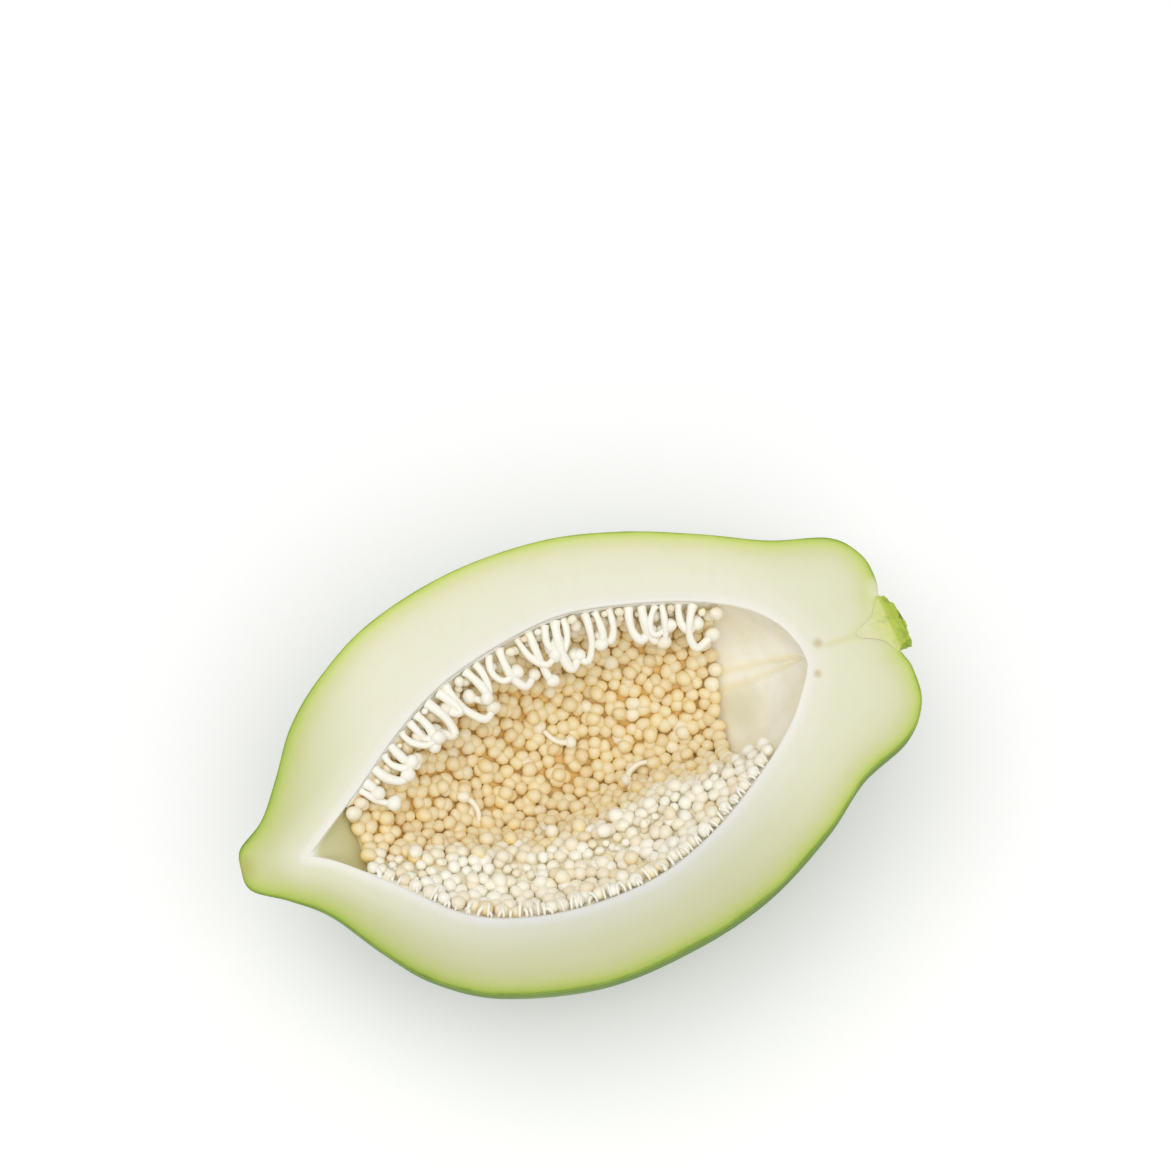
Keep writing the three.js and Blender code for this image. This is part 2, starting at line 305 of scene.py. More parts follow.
@dataclass
class Patch:
    """A grid of points with numbers painted on them.

    Attributes:
        points: rows and columns of points, in mm.
        finish: index of the finish that its faces take.
        marks: numbers on the points, by name.
    """

    points: Array
    finish: int = 0
    marks: dict[str, Array] = field(default_factory=dict)

    def quads(self, offset: int) -> Array:
        """Faces of the grid.

        Args:
            offset: number of its first point.

        Returns:
            Four corners of each face.
        """
        rows, columns = self.points.shape[:2]
        corner = (np.arange(rows - 1)[:, None] * columns + np.arange(columns - 1)).ravel()
        corner = corner + offset
        return np.stack([corner, corner + columns, corner + columns + 1, corner + 1], axis=1)


@dataclass
class Sculpt:
    """Points and faces on their way to becoming a Blender mesh.

    Attributes:
        points: one point a row, in mm.
        faces: corners of each face.
        finishes: index of the finish of each face.
        marks: numbers on the points, by name.
    """

    points: Array
    faces: list[list[int]]
    finishes: list[int]
    marks: dict[str, Array]

    @classmethod
    def welded(cls, patches: Sequence[Patch]) -> "Sculpt":
        """Joins patches along the points that they share.

        Args:
            patches: grids that meet at equal points.

        Returns:
            One shape, with no doubled points and no collapsed faces.
        """
        points = np.concatenate([patch.points.reshape(-1, 3) for patch in patches])
        quads, finishes, offset = [], [], 0
        for patch in patches:
            found = patch.quads(offset)
            quads.append(found)
            finishes.append(np.full(len(found), patch.finish))
            offset += patch.points.shape[0] * patch.points.shape[1]
        keys = np.round(points, 4) + 0.0
        _, first, inverse = np.unique(keys, axis=0, return_index=True, return_inverse=True)
        corners = inverse.reshape(-1)[np.concatenate(quads)]
        names = sorted({name for patch in patches for name in patch.marks})
        marks = {}
        for name in names:
            values = [
                patch.marks.get(name, np.zeros(patch.points.shape[:2])).ravel()
                for patch in patches
            ]
            marks[name] = np.concatenate(values)[first]
        faces, kept = [], []
        for corner, finish in zip(corners.tolist(), np.concatenate(finishes).tolist()):
            face = list(dict.fromkeys(corner))
            if len(face) > 2:
                faces.append(face)
                kept.append(finish)
        return cls(points[first], faces, kept, marks)

    @classmethod
    def gathered(cls, shapes: Sequence["Sculpt"]) -> "Sculpt":
        """Puts several shapes in one, as they are.

        Args:
            shapes: shapes with the same names of marks.

        Returns:
            One shape that holds them all.
        """
        faces: list[list[int]] = []
        offset = 0
        for shape in shapes:
            faces += [[corner + offset for corner in face] for face in shape.faces]
            offset += len(shape.points)
        return cls(
            np.concatenate([shape.points for shape in shapes]),
            faces,
            [finish for shape in shapes for finish in shape.finishes],
            {n: np.concatenate([s.marks[n] for s in shapes]) for n in shapes[0].marks},
        )

    def make(
        self, name: str, finishes: Sequence[bpy.types.Material], sharp: float
    ) -> bpy.types.Object:
        """Makes the Blender object, smooth but for its sharp edges.

        Args:
            name: name of the piece.
            finishes: materials, in the order of the faces' indices.
            sharp: angle above which an edge stays sharp, in degrees.

        Returns:
            The new object, linked to the scene.
        """
        mesh = bpy.data.meshes.new(name)
        mesh.from_pydata(((self.points + SHIFT_MM) / 1000).tolist(), [], self.faces)
        for material in finishes:
            mesh.materials.append(material)
        mesh.polygons.foreach_set("material_index", self.finishes)
        for key, values in self.marks.items():
            layer = mesh.attributes.new(key, "FLOAT", "POINT")
            layer.data.foreach_set("value", np.asarray(values, np.float32))
        mesh.shade_smooth()
        mesh.set_sharp_from_angle(angle=math.radians(sharp))
        mesh.update()
        triangles = sum(len(face) - 2 for face in self.faces)
        log.info("%s: %d points, %d triangles", name, len(self.points), triangles)
        return placed(name, mesh)


def math_operator(operation: str, swapped: bool = False) -> Callable[["Number", Any], "Number"]:
    """Makes an operator that adds one Math node.

    Args:
        operation: Blender's name for what the node does.
        swapped: whether the other number comes first.

    Returns:
        The operator, for use as a method of Number.
    """

    def operate(number: "Number", other: Any) -> "Number":
        """Joins a number and another value in a new node."""
        pair = {0: other, 1: number} if swapped else {0: number, 1: other}
        return number.shader.number("ShaderNodeMath", {"operation": operation}, pair)

    return operate


class Number:
    """A number socket of a shader that Python's operators work on."""

    __add__ = math_operator("ADD")
    __radd__ = math_operator("ADD", swapped=True)
    __sub__ = math_operator("SUBTRACT")
    __rsub__ = math_operator("SUBTRACT", swapped=True)
    __mul__ = math_operator("MULTIPLY")

    def __init__(self, shader: "Shader", socket: bpy.types.NodeSocket) -> None:
        """Wraps one output socket of a shader."""
        self.shader = shader
        self.socket = socket

    def step(self, low: float, high: float) -> "Number":
        """Smooth step of this number.

        Args:
            low: where the step starts.
            high: where it is full; it may be less than low.

        Returns:
            A number from 0 to 1.
        """
        settings = {"interpolation_type": "SMOOTHSTEP"}
        sockets = {"Value": self, "From Min": low, "From Max": high}
        return self.shader.number("ShaderNodeMapRange", settings, sockets, "Result")


class Shader:
    """A material's nodes, made one after another."""

    def __init__(self, name: str) -> None:
        """Starts an empty material."""
        self.material = bpy.data.materials.new(name)
        self.material.use_nodes = True
        self.tree = self.material.node_tree
        self.tree.nodes.clear()

    def node(self, kind: str, settings: dict[str, Any], sockets: dict[Any, Any]) -> Any:
        """Adds one node.

        Args:
            kind: Blender's name for the node.
            settings: its settings; "stops" holds a colour ramp's places and colours.
            sockets: values or links of its input sockets, by name or number.

        Returns:
            The new node.
        """
        made = self.tree.nodes.new(kind)
        for key, value in settings.items():
            if key == "stops":
                self._stops(made.color_ramp, value)
            else:
                setattr(made, key, value)
        for key, value in sockets.items():
            target = made.inputs[key]
            if isinstance(value, Number):
                self.tree.links.new(value.socket, target)
            elif isinstance(value, bpy.types.NodeSocket):
                self.tree.links.new(value, target)
            else:
                target.default_value = value
        return made

    def number(
        self, kind: str, settings: dict[str, Any], sockets: dict[Any, Any], output: int | str = 0
    ) -> Number:
        """Adds one node and reads a number from it.

        Args:
            kind: Blender's name for the node.
            settings: its settings.
            sockets: values or links of its input sockets, by name or number.
            output: name or number of the output socket.

        Returns:
            The number.
        """
        return Number(self, self.node(kind, settings, sockets).outputs[output])

    @staticmethod
    def _stops(ramp: Any, stops: Sequence[tuple[float, Sequence[float]]]) -> None:
        """Sets up a colour ramp.

        Args:
            ramp: the ramp of the node.
            stops: places and colours.
        """
        while len(ramp.elements) < len(stops):
            ramp.elements.new(0.5)
        for element, (place, colour) in zip(ramp.elements, stops):
            element.position = place
            element.color = colour

    def painted(self, name: str) -> Number:
        """The number painted on the mesh under a name."""
        return self.number("ShaderNodeAttribute", {"attribute_name": name}, {}, "Fac")

    def place(self, scale: Sequence[float] = (1, 1, 1)) -> bpy.types.NodeSocket:
        """Place on the object in metres.

        Args:
            scale: what each axis is multiplied by.

        Returns:
            The place's socket.
        """
        where = self.node("ShaderNodeTexCoord", {}, {}).outputs["Object"]
        made = self.node("ShaderNodeVectorMath", {"operation": "MULTIPLY"}, {0: where, 1: scale})
        return made.outputs[0]

    def near(self, spot: Sequence[float]) -> Number:
        """Distance from a spot.

        Args:
            spot: the spot, in the fruit's own millimetres.

        Returns:
            The distance, in mm.
        """
        centre = (np.asarray(spot, float) + SHIFT_MM) / 1000
        sockets = {0: self.place(), 1: tuple(centre)}
        metres = self.number("ShaderNodeVectorMath", {"operation": "DISTANCE"}, sockets, "Value")
        return metres * 1000.0

    def noise(
        self, size_mm: float, detail: float = 3, stretch: Sequence[float] = (1, 1, 1)
    ) -> Number:
        """Soft noise from 0 to 1.

        Args:
            size_mm: size of its blotches.
            detail: how many finer layers it has.
            stretch: scale of each axis before the noise is read.

        Returns:
            The noise.
        """
        sockets = {"Vector": self.place(stretch), "Scale": 1000 / size_mm, "Detail": detail}
        return self.number("ShaderNodeTexNoise", {}, sockets, "Fac")

    def specks(self, size_mm: float) -> Number:
        """Distance to the nearest of many scattered specks.

        Args:
            size_mm: size of a speck's cell.

        Returns:
            The distance, in cells.
        """
        sockets = {"Vector": self.place(), "Scale": 1000 / size_mm}
        return self.number("ShaderNodeTexVoronoi", {"feature": "F1"}, sockets, "Distance")

    def ramp(self, value: Any, stops: Sequence[tuple[float, Sequence[float]]]) -> Any:
        """Colour ramp read at a value."""
        made = self.node("ShaderNodeValToRGB", {"stops": stops}, {"Fac": value})
        return made.outputs["Color"]

    def mix(self, factor: Any, first: Any, second: Any, blend: str = "MIX") -> Any:
        """Mix of two colours.

        Args:
            factor: share of the second colour.
            first: colour or socket.
            second: colour or socket.
            blend: Blender's name for the way of mixing.

        Returns:
            The mixed colour's socket.
        """
        settings = {"data_type": "RGBA", "blend_type": blend, "clamp_result": False}
        made = self.node("ShaderNodeMix", settings, {0: factor, 6: first, 7: second})
        return made.outputs[2]

    def finish(
        self, colour: Any, roughness: Any, bump: Any, depth_mm: float, plain: dict[str, Any]
    ) -> bpy.types.Material:
        """Closes the material with one Principled surface.

        Args:
            colour: base colour or its socket.
            roughness: roughness or its number.
            bump: number whose relief the surface shows.
            depth_mm: height of that relief.
            plain: constants of the surface, by socket name.

        Returns:
            The finished material.
        """
        relief = self.node(
            "ShaderNodeBump", {}, {"Strength": 1.0, "Distance": depth_mm / 1000, "Height": bump}
        )
        sockets = {"Base Color": colour, "Roughness": roughness, "Normal": relief.outputs[0]}
        surface = self.node("ShaderNodeBsdfPrincipled", {}, {**sockets, **plain})
        self.node("ShaderNodeOutputMaterial", {}, {"Surface": surface.outputs[0]})
        return self.material


def moist(
    weight: float, reach_mm: float, coat: float, coat_roughness: float, ior: float = 1.4
) -> dict[str, Any]:
    """Constants of a moist surface that light soaks into.

    Args:
        weight: share of the light that soaks in.
        reach_mm: how far it travels.
        coat: weight of the film of juice or wax.
        coat_roughness: roughness of that film.
        ior: index of refraction.

    Returns:
        Constants for the Principled surface.
    """
    return {
        "Subsurface Weight": weight,
        "Subsurface Radius": (1.0, 0.9, 0.68),
        "Subsurface Scale": reach_mm / 1000,
        "Coat Weight": coat,
        "Coat Roughness": coat_roughness,
        "IOR": ior,
    }


@dataclass(frozen=True)
class SkinFinish:
    """Waxy green skin with paler streaks along the fruit and fine specks.

    Attributes:
        tip_at: middle of the blossom scar.
        streak_mm: width of the streaks.
        blotch_mm: size of the soft blotches.
        speck_mm: distance between specks.
        edge_mm: how far below the cut the skin is paler.
    """

    deep: Colour = linear(52, 86, 36)
    middle: Colour = linear(86, 122, 54)
    pale: Colour = linear(134, 160, 100)
    speck: Colour = linear(150, 170, 112)
    edge: Colour = linear(118, 148, 42)
    blossom: Colour = linear(150, 108, 78)
    tip_at: Triple = (-0.5, -1.0, -1.0)
    streak_mm: float = 16.0
    blotch_mm: float = 34.0
    speck_mm: float = 4.5
    edge_mm: float = 12.0

    def material(self) -> bpy.types.Material:
        """Builds the material.

        Returns:
            The finished material.
        """
        shader = Shader("papaya_skin")
        streaks = shader.noise(self.streak_mm, 5, (0.22, 1, 1))
        blotches = shader.noise(self.blotch_mm, 3)
        ribs = shader.painted("rib")
        tone = streaks * 0.7 + blotches * 0.35 + ribs * 0.16 - 0.08
        colour = shader.ramp(tone, [(0.3, self.deep), (0.52, self.middle), (0.78, self.pale)])
        fine = shader.noise(1.6, 2)
        colour = shader.mix((fine - 0.4) * 0.5, colour, self.pale)
        dots = shader.specks(self.speck_mm).step(0.16, 0.07) * 0.45
        colour = shader.mix(dots, colour, self.speck)
        rim = shader.painted("rind").step(self.edge_mm, 0.0) * 0.78
        colour = shader.mix(rim, colour, self.edge)
        tip = shader.near(self.tip_at).step(4.2, 1.2)
        colour = shader.mix(tip, colour, self.blossom)
        roughness = 0.46 + fine * 0.12 + blotches * 0.1
        relief = streaks * 0.5 + fine * 0.16 + dots * 0.4
        return shader.finish(colour, roughness, relief, 0.35, moist(0.06, 2.0, 0.04, 0.3, 1.24))


@dataclass(frozen=True)
class FleshFinish:
    """Cut flesh: green under the skin, pale cream inside, white round the hollow.

    Attributes:
        layers: depth below the skin in mm and display colour of each layer.
        reach_mm: depth of the last layer.
        wobble_mm: how far the layers wander.
        scar_at: middle of the dry patch beside the stub.
        blossom_at: middle of the darker patch at the blossom tip.
        dots: place and radius of each brown dot between the hollow and the stub.
    """

    layers: tuple[tuple[float, Triple], ...] = (
        (0.0, (104, 136, 34)),
        (0.3, (150, 180, 52)),
        (0.8, (190, 208, 96)),
        (1.9, (209, 219, 134)),
        (3.2, (218, 222, 160)),
        (4.6, (223, 223, 177)),
        (6.4, (228, 227, 191)),
        (9.0, (231, 230, 201)),
        (14.0, (233, 232, 208)),
    )
    reach_mm: float = 14.0
    wobble_mm: float = 1.6
    scar_at: Triple = (213.4, 12.8, -0.5)
    blossom_at: Triple = (0.6, -1.2, 0.0)
    dots: tuple[tuple[Triple, float], ...] = (
        ((189.5, 2.7, 0.0), 2.5),
        ((185.6, -6.3, 0.0), 2.1),
    )
    lining: Colour = linear(241, 238, 228)
    inner: Colour = linear(237, 234, 218)
    front: Colour = linear(245, 245, 221)
    ends: Colour = linear(232, 236, 213)
    # painted shade: darker towards the front, where the light falls weaker
    painted_front_shade: Colour = linear(236, 238, 246)
    vein: Colour = linear(214, 206, 140)
    brown: Colour = linear(190, 164, 96)
    blossom: Colour = linear(186, 170, 104)
    wedge: Colour = linear(222, 224, 168)
    fibre: Colour = linear(205, 208, 160)
    scar: Colour = linear(232, 227, 205)

    def material(self) -> bpy.types.Material:
        """Builds the material.

        Returns:
            The finished material.
        """
        shader = Shader("papaya_flesh")
        wobble = (shader.noise(9, 3) - 0.5) * self.wobble_mm
        side = shader.painted("side")
        depth = shader.painted("rind") * (1.0 - side * 0.22) + wobble * 0.5
        stops = [(place / self.reach_mm, linear(*colour)) for place, colour in self.layers]
        colour = shader.ramp(depth * (1 / self.reach_mm), stops)
        lining = shader.painted("lining")
        front = shader.painted("front")
        colour = shader.mix(front, colour, self.front, "MULTIPLY")
        colour = shader.mix(shader.painted("ends"), colour, self.ends, "MULTIPLY")
        colour = shader.mix(lining.step(12.0, 3.0) * 0.5, colour, self.inner)
        colour = shader.mix((lining + wobble * 0.5).step(4.2, 0.8) * 0.85, colour, self.lining)
        # painted shade towards the front, over the yellower tint of the front flesh
        colour = shader.mix(front, colour, self.painted_front_shade, "MULTIPLY")
        fibres = shader.noise(3.2, 4, (1, 0.35, 1))
        colour = shader.mix((fibres - 0.52) * 0.35, colour, self.fibre)
        stalk = shader.painted("stalk")
        colour = shader.mix(stalk.step(4.5, 0.2) * 0.7, colour, self.wedge)
        scar = (shader.near(self.scar_at) + wobble).step(5.0, 1.0)
        colour = shader.mix(scar * 0.55, colour, self.scar)
        blossom = (shader.near(self.blossom_at) + wobble).step(6.0, 0.5)
        colour = shader.mix(blossom * 0.5, colour, self.blossom)
        for spot, size in self.dots:
            dot = (shader.near(spot) + wobble * 0.5).step(size, 0)
            colour = shader.mix(dot * 0.6, colour, self.brown)
        colour = shader.mix(shader.painted("vein") * 0.4, colour, self.vein)
        roughness = 0.36 + fibres * 0.16
        relief = fibres * 0.5 + shader.noise(0.9, 2) * 0.25
        return shader.finish(colour, roughness, relief, 0.12, moist(0.22, 4.0, 0.15, 0.22))


@dataclass(frozen=True)
class WallFinish:
    """Smooth moist lining of the hollow, greener towards the blossom end, with painted shade
    there.

    Attributes:
        olive_shade_spots: place, size and strength of each olive spot of painted shade, in the
            fruit's millimetres.
    """

    olive_shade_spots: tuple[tuple[Triple, float, float], ...] = (
        ((163.5, -1.0, -26.5), 11.0, 0.7),
        ((171.0, 16.5, -13.0), 12.0, 0.3),
    )
    # olive tint darkened as painted shade, for the spots in the seedless pocket
    olive_shade: Colour = linear(222, 218, 184)
    thread: Colour = linear(244, 232, 186)
    pale: Colour = linear(253, 251, 240)
    warm: Colour = linear(249, 244, 224)
    # olive green of the blossom end, darkened as painted shade
    green: Colour = linear(203, 201, 144)
    fibre: Colour = linear(226, 216, 168)
    rim: Colour = linear(249, 248, 242)

    def material(self) -> bpy.types.Material:
        """Builds the material.

        Returns:
            The finished material.
        """
        shader = Shader("papaya_hollow")
        blotches = shader.noise(12, 4)
        threads = shader.noise(2.6, 4, (0.2, 1, 1))
        colour = shader.mix(blotches.step(0.35, 0.7), self.pale, self.warm)
        # greener and darker towards the blossom end; the darkening is painted shade
        colour = shader.mix(shader.painted("blossom_end") * 0.85, colour, self.green)
        # olive spots in the seedless pocket: olive tint with painted shade, strongest beside the
        # seeds
        for spot, size, strength in self.olive_shade_spots:
            away = shader.near(spot) + blotches * 7 - 3.5
            colour = shader.mix(away.step(size, size * 0.2) * strength, colour, self.olive_shade)
        colour = shader.mix((threads - 0.55) * 0.6, colour, self.fibre)
        colour = shader.mix(shader.painted("thread") * 0.6, colour, self.thread)
        colour = shader.mix(shader.painted("lining").step(2.6, 0.2), colour, self.rim)
        roughness = 0.3 + threads * 0.15
        relief = threads * 0.6 + shader.noise(1.1, 2) * 0.25
        return shader.finish(colour, roughness, relief, 0.25, moist(0.3, 4.0, 0.3, 0.18))


@dataclass(frozen=True)
class SeedFinish:
    """Seeds in their jelly coats, with painted light: pale on top, golden glow where they touch.

    Attributes:
        name: name of the material.
    """

    name: str
    # painted light: golden low between the seeds as a painted glow, light on their tops
    golden: Colour = linear(254, 213, 122)
    tan: Colour = linear(246, 217, 142)
    light: Colour = linear(242, 227, 188)
    white: Colour = linear(252, 249, 236)
    ivory: Colour = linear(255, 249, 220)
    stain: Colour = linear(226, 190, 112)
    milk: Colour = linear(250, 240, 214)

    def material(self) -> bpy.types.Material:
        """Builds the material.

        Returns:
            The finished material.
        """
        shader = Shader(self.name)
        # painted light height: 0 low on a seed, 1 on the top that faces the light
        cap = shader.painted("cap")
        tone = shader.painted("tone")
        chance = shader.painted("chance")
        fine = shader.noise(1.3, 3)
        tan = shader.ramp(
            cap + (chance - 0.5) * 0.16,
            [(0.12, self.golden), (0.5, self.tan), (0.92, self.light)],
        )
        # white seeds take painted light too: ivory low down, white on top
        white = shader.ramp(
            cap + (chance - 0.5) * 0.2, [(0.1, self.ivory), (0.55, self.white)]
        )
        colour = shader.mix(tone, tan, white)
        colour = shader.mix((chance - 0.62) * 0.7, colour, self.stain, "MULTIPLY")
        colour = shader.mix((fine - 0.5) * 0.4, colour, self.milk)
        roughness = 0.3 + fine * 0.14
        relief = fine * 0.7 + shader.noise(0.5, 2) * 0.2
        return shader.finish(colour, roughness, relief, 0.12, moist(0.12, 1.2, 0.16, 0.25))


@dataclass(frozen=True)
class StubFinish:
    """Cut stub of the stalk: yellow-green inside and rough green outside."""

    core: Colour = linear(225, 225, 180)
    middle: Colour = linear(218, 222, 146)
    rim: Colour = linear(190, 208, 86)
    bark: Colour = linear(160, 184, 48)
    scar: Colour = linear(190, 178, 112)
    dark: Colour = linear(118, 142, 52)

    def material(self) -> bpy.types.Material:
        """Builds the material.

        Returns:
            The finished material.
        """
        shader = Shader("papaya_stub")
        rough = shader.noise(2.2, 5)
        outer = shader.painted("outer")
        colour = shader.ramp(
            outer, [(0.0, self.core), (0.4, self.middle), (0.7, self.rim), (1.0, self.bark)]
        )
        colour = shader.mix(rough.step(0.52, 0.7) * outer * 0.6, colour, self.scar)
        dark = shader.noise(3.4, 2).step(0.5, 0.72)
        colour = shader.mix(dark * outer * 0.5, colour, self.dark)
        relief = rough * 0.8 + shader.noise(0.7, 3) * 0.3
        return shader.finish(colour, 0.5 + rough * 0.2, relief, 0.7, moist(0.12, 2.0, 0.1, 0.3))


@dataclass(frozen=True)
class FloorFinish:
    """Plain pale table top, with a weak glow of its own that thins the shadows.

    Attributes:
        glow: strength of that glow.
    """

    pale: Colour = linear(252, 252, 251)
    grey: Colour = linear(244, 244, 243)
    glow: float = 0.1

    def material(self) -> bpy.types.Material:
        """Builds the material.

        Returns:
            The finished material.
        """
        shader = Shader("plain_floor")
        grain = shader.noise(60, 3)
        colour = shader.mix(grain * 0.04, self.pale, self.grey)
        glow = {"IOR": 1.3, "Emission Color": (1, 1, 1, 1), "Emission Strength": self.glow}
        return shader.finish(colour, 0.6 + grain * 0.1, grain, 0.05, glow)


def along_edge(points: Array, count: int) -> Array:
    """Even shares of an edge.

    Args:
        points: finely spaced points along the edge.
        count: how many steps it is cut into.

    Returns:
        Share of the fine spacing, from 0 to 1, at each of count + 1 places.
    """
    lengths = np.linalg.norm(np.diff(points, axis=0), axis=1)
    total = np.concatenate([[0.0], np.cumsum(lengths)])
    wanted = np.linspace(0, total[-1], count + 1)
    return np.interp(wanted, total, np.linspace(0, 1, len(total)))


def distance_to_line(points: Array, line: Array) -> Array:
    """Distance from points to a line of short pieces, all in the plane of the cut.

    Args:
        points: points, in mm.
        line: corners of the line, in mm.

    Returns:
        Distance of each point.
    """
    flat = points[..., :2].reshape(-1, 2)
    start, step = line[:-1, :2], np.diff(line[:, :2], axis=0)
    long = np.maximum((step**2).sum(1), 1e-9)
    best = np.full(len(flat), np.inf)
    for k in range(0, len(flat), 2000):
        part = flat[k : k + 2000, None] - start[None]
        share = np.clip((part * step).sum(-1) / long, 0, 1)
        gap = part - share[..., None] * step
        best[k : k + 2000] = np.sqrt((gap**2).sum(-1).min(1))
    return best.reshape(points.shape[:-1])


def ripple(points: Array, size_mm: float, seed: int) -> Array:
    """Soft waves from -1 to 1 over points.

    Args:
        points: where to read them, in mm.
        size_mm: length of the waves.
        seed: chooses their directions.

    Returns:
        The waves' height at each point.
    """
    rng = np.random.default_rng(seed)
    total = np.zeros(points.shape[:-1])
    for _ in range(7):
        way = unit(rng.normal(size=3)) * 2 * math.pi / (size_mm * rng.uniform(0.7, 1.5))
        total += np.sin(points @ way + rng.uniform(0, 2 * math.pi))
    return total / 7


@dataclass
class StalkStub:
    """Half of the knobbly cut stub, with its root in the flesh.

    Attributes:
        profile: radius and distance along the fruit, in mm.
        middle_y: where its axis lies across the fruit.
        slant: how far its outer end leans, as a slope.
        knobs: how many knobs stand round it.
        knob_share: how deep the hollows between them are.
        mouth: share of the profile at which it leaves the flesh.
        end_mm: farthest that its rough end may reach.
        root_at: where along the fruit its knobs spread from.
    """

    profile: tuple[tuple[float, float], ...] = (
        (0, 201.5), (1.4, 202.6), (2.7, 205.6), (4.7, 208.8), (8.9, 211.6), (9.4, 213),
        (9, 215), (7.2, 216.3), (3.6, 216.9), (0, 217),
    )
    middle_y: float = 0.8
    slant: float = 0.13
    knobs: int = 7
    knob_share: float = 0.1
    mouth: float = 0.53
    end_mm: float = 217.5
    root_at: float = 209.0

    def line(self, shares: Array) -> Array:
        """Radius and distance along the fruit at shares of the profile."""
        return smooth_curve(self.profile, shares)

    def sculpt(self) -> Sculpt:
        """Draws the stub.

        Returns:
            The closed shape.
        """
        rows, columns = 90, 80
        line = self.line(np.linspace(0, 1, rows + 1))
        turn = np.linspace(0, math.pi, columns + 1)
        radius, reach = line[:, :1], line[:, 1:]
        share = smoothstep(reach, 211.8, 214) * self.knob_share
        swell = 1 - share + share * np.cos(self.knobs * turn)[None]
        across = radius * swell * np.cos(turn)[None]
        down = half_sine(turn)[None] * radius * swell
        shell = np.stack([reach + 0 * across, self.middle_y + across, -down], axis=-1)
        bark = smoothstep(shell[..., 0], 212.9, 214.6)
        rough = 1.2 * ripple(shell, 3.0, 51) + 0.6 * ripple(shell, 1.5, 52)
        way = unit(shell - np.array([self.root_at, self.middle_y, 0.0]))
        way[:, 0, 2] = way[:, -1, 2] = 0
        shell = shell + way * (rough * bark)[..., None]
        shell[..., 0] -= self.slant * (shell[..., 1] - self.middle_y) * bark
        shell[..., 0] = np.minimum(shell[..., 0], self.end_mm)
        outer = smoothstep(shell[..., 0], 210.5, 214.0)
        u = np.linspace(0, 1, 30)[None, :, None]
        face = shell[:, :1] * (1 - u) + shell[:, -1:] * u
        edge = np.abs(2 * u[..., 0] - 1) + 0 * face[..., 0]
        face_outer = np.maximum(outer[:, :1] * 0.9, smoothstep(edge, 0.7, 1.0) * 0.7)
        face_outer = face_outer * smoothstep(face[..., 0], 207, 212.5)
        face_outer = np.maximum(face_outer, 0.45 * smoothstep(face[..., 0], 204, 212))
        patches = [Patch(shell, 0, {"outer": outer}), Patch(face, 0, {"outer": face_outer})]
        return Sculpt.welded(patches)


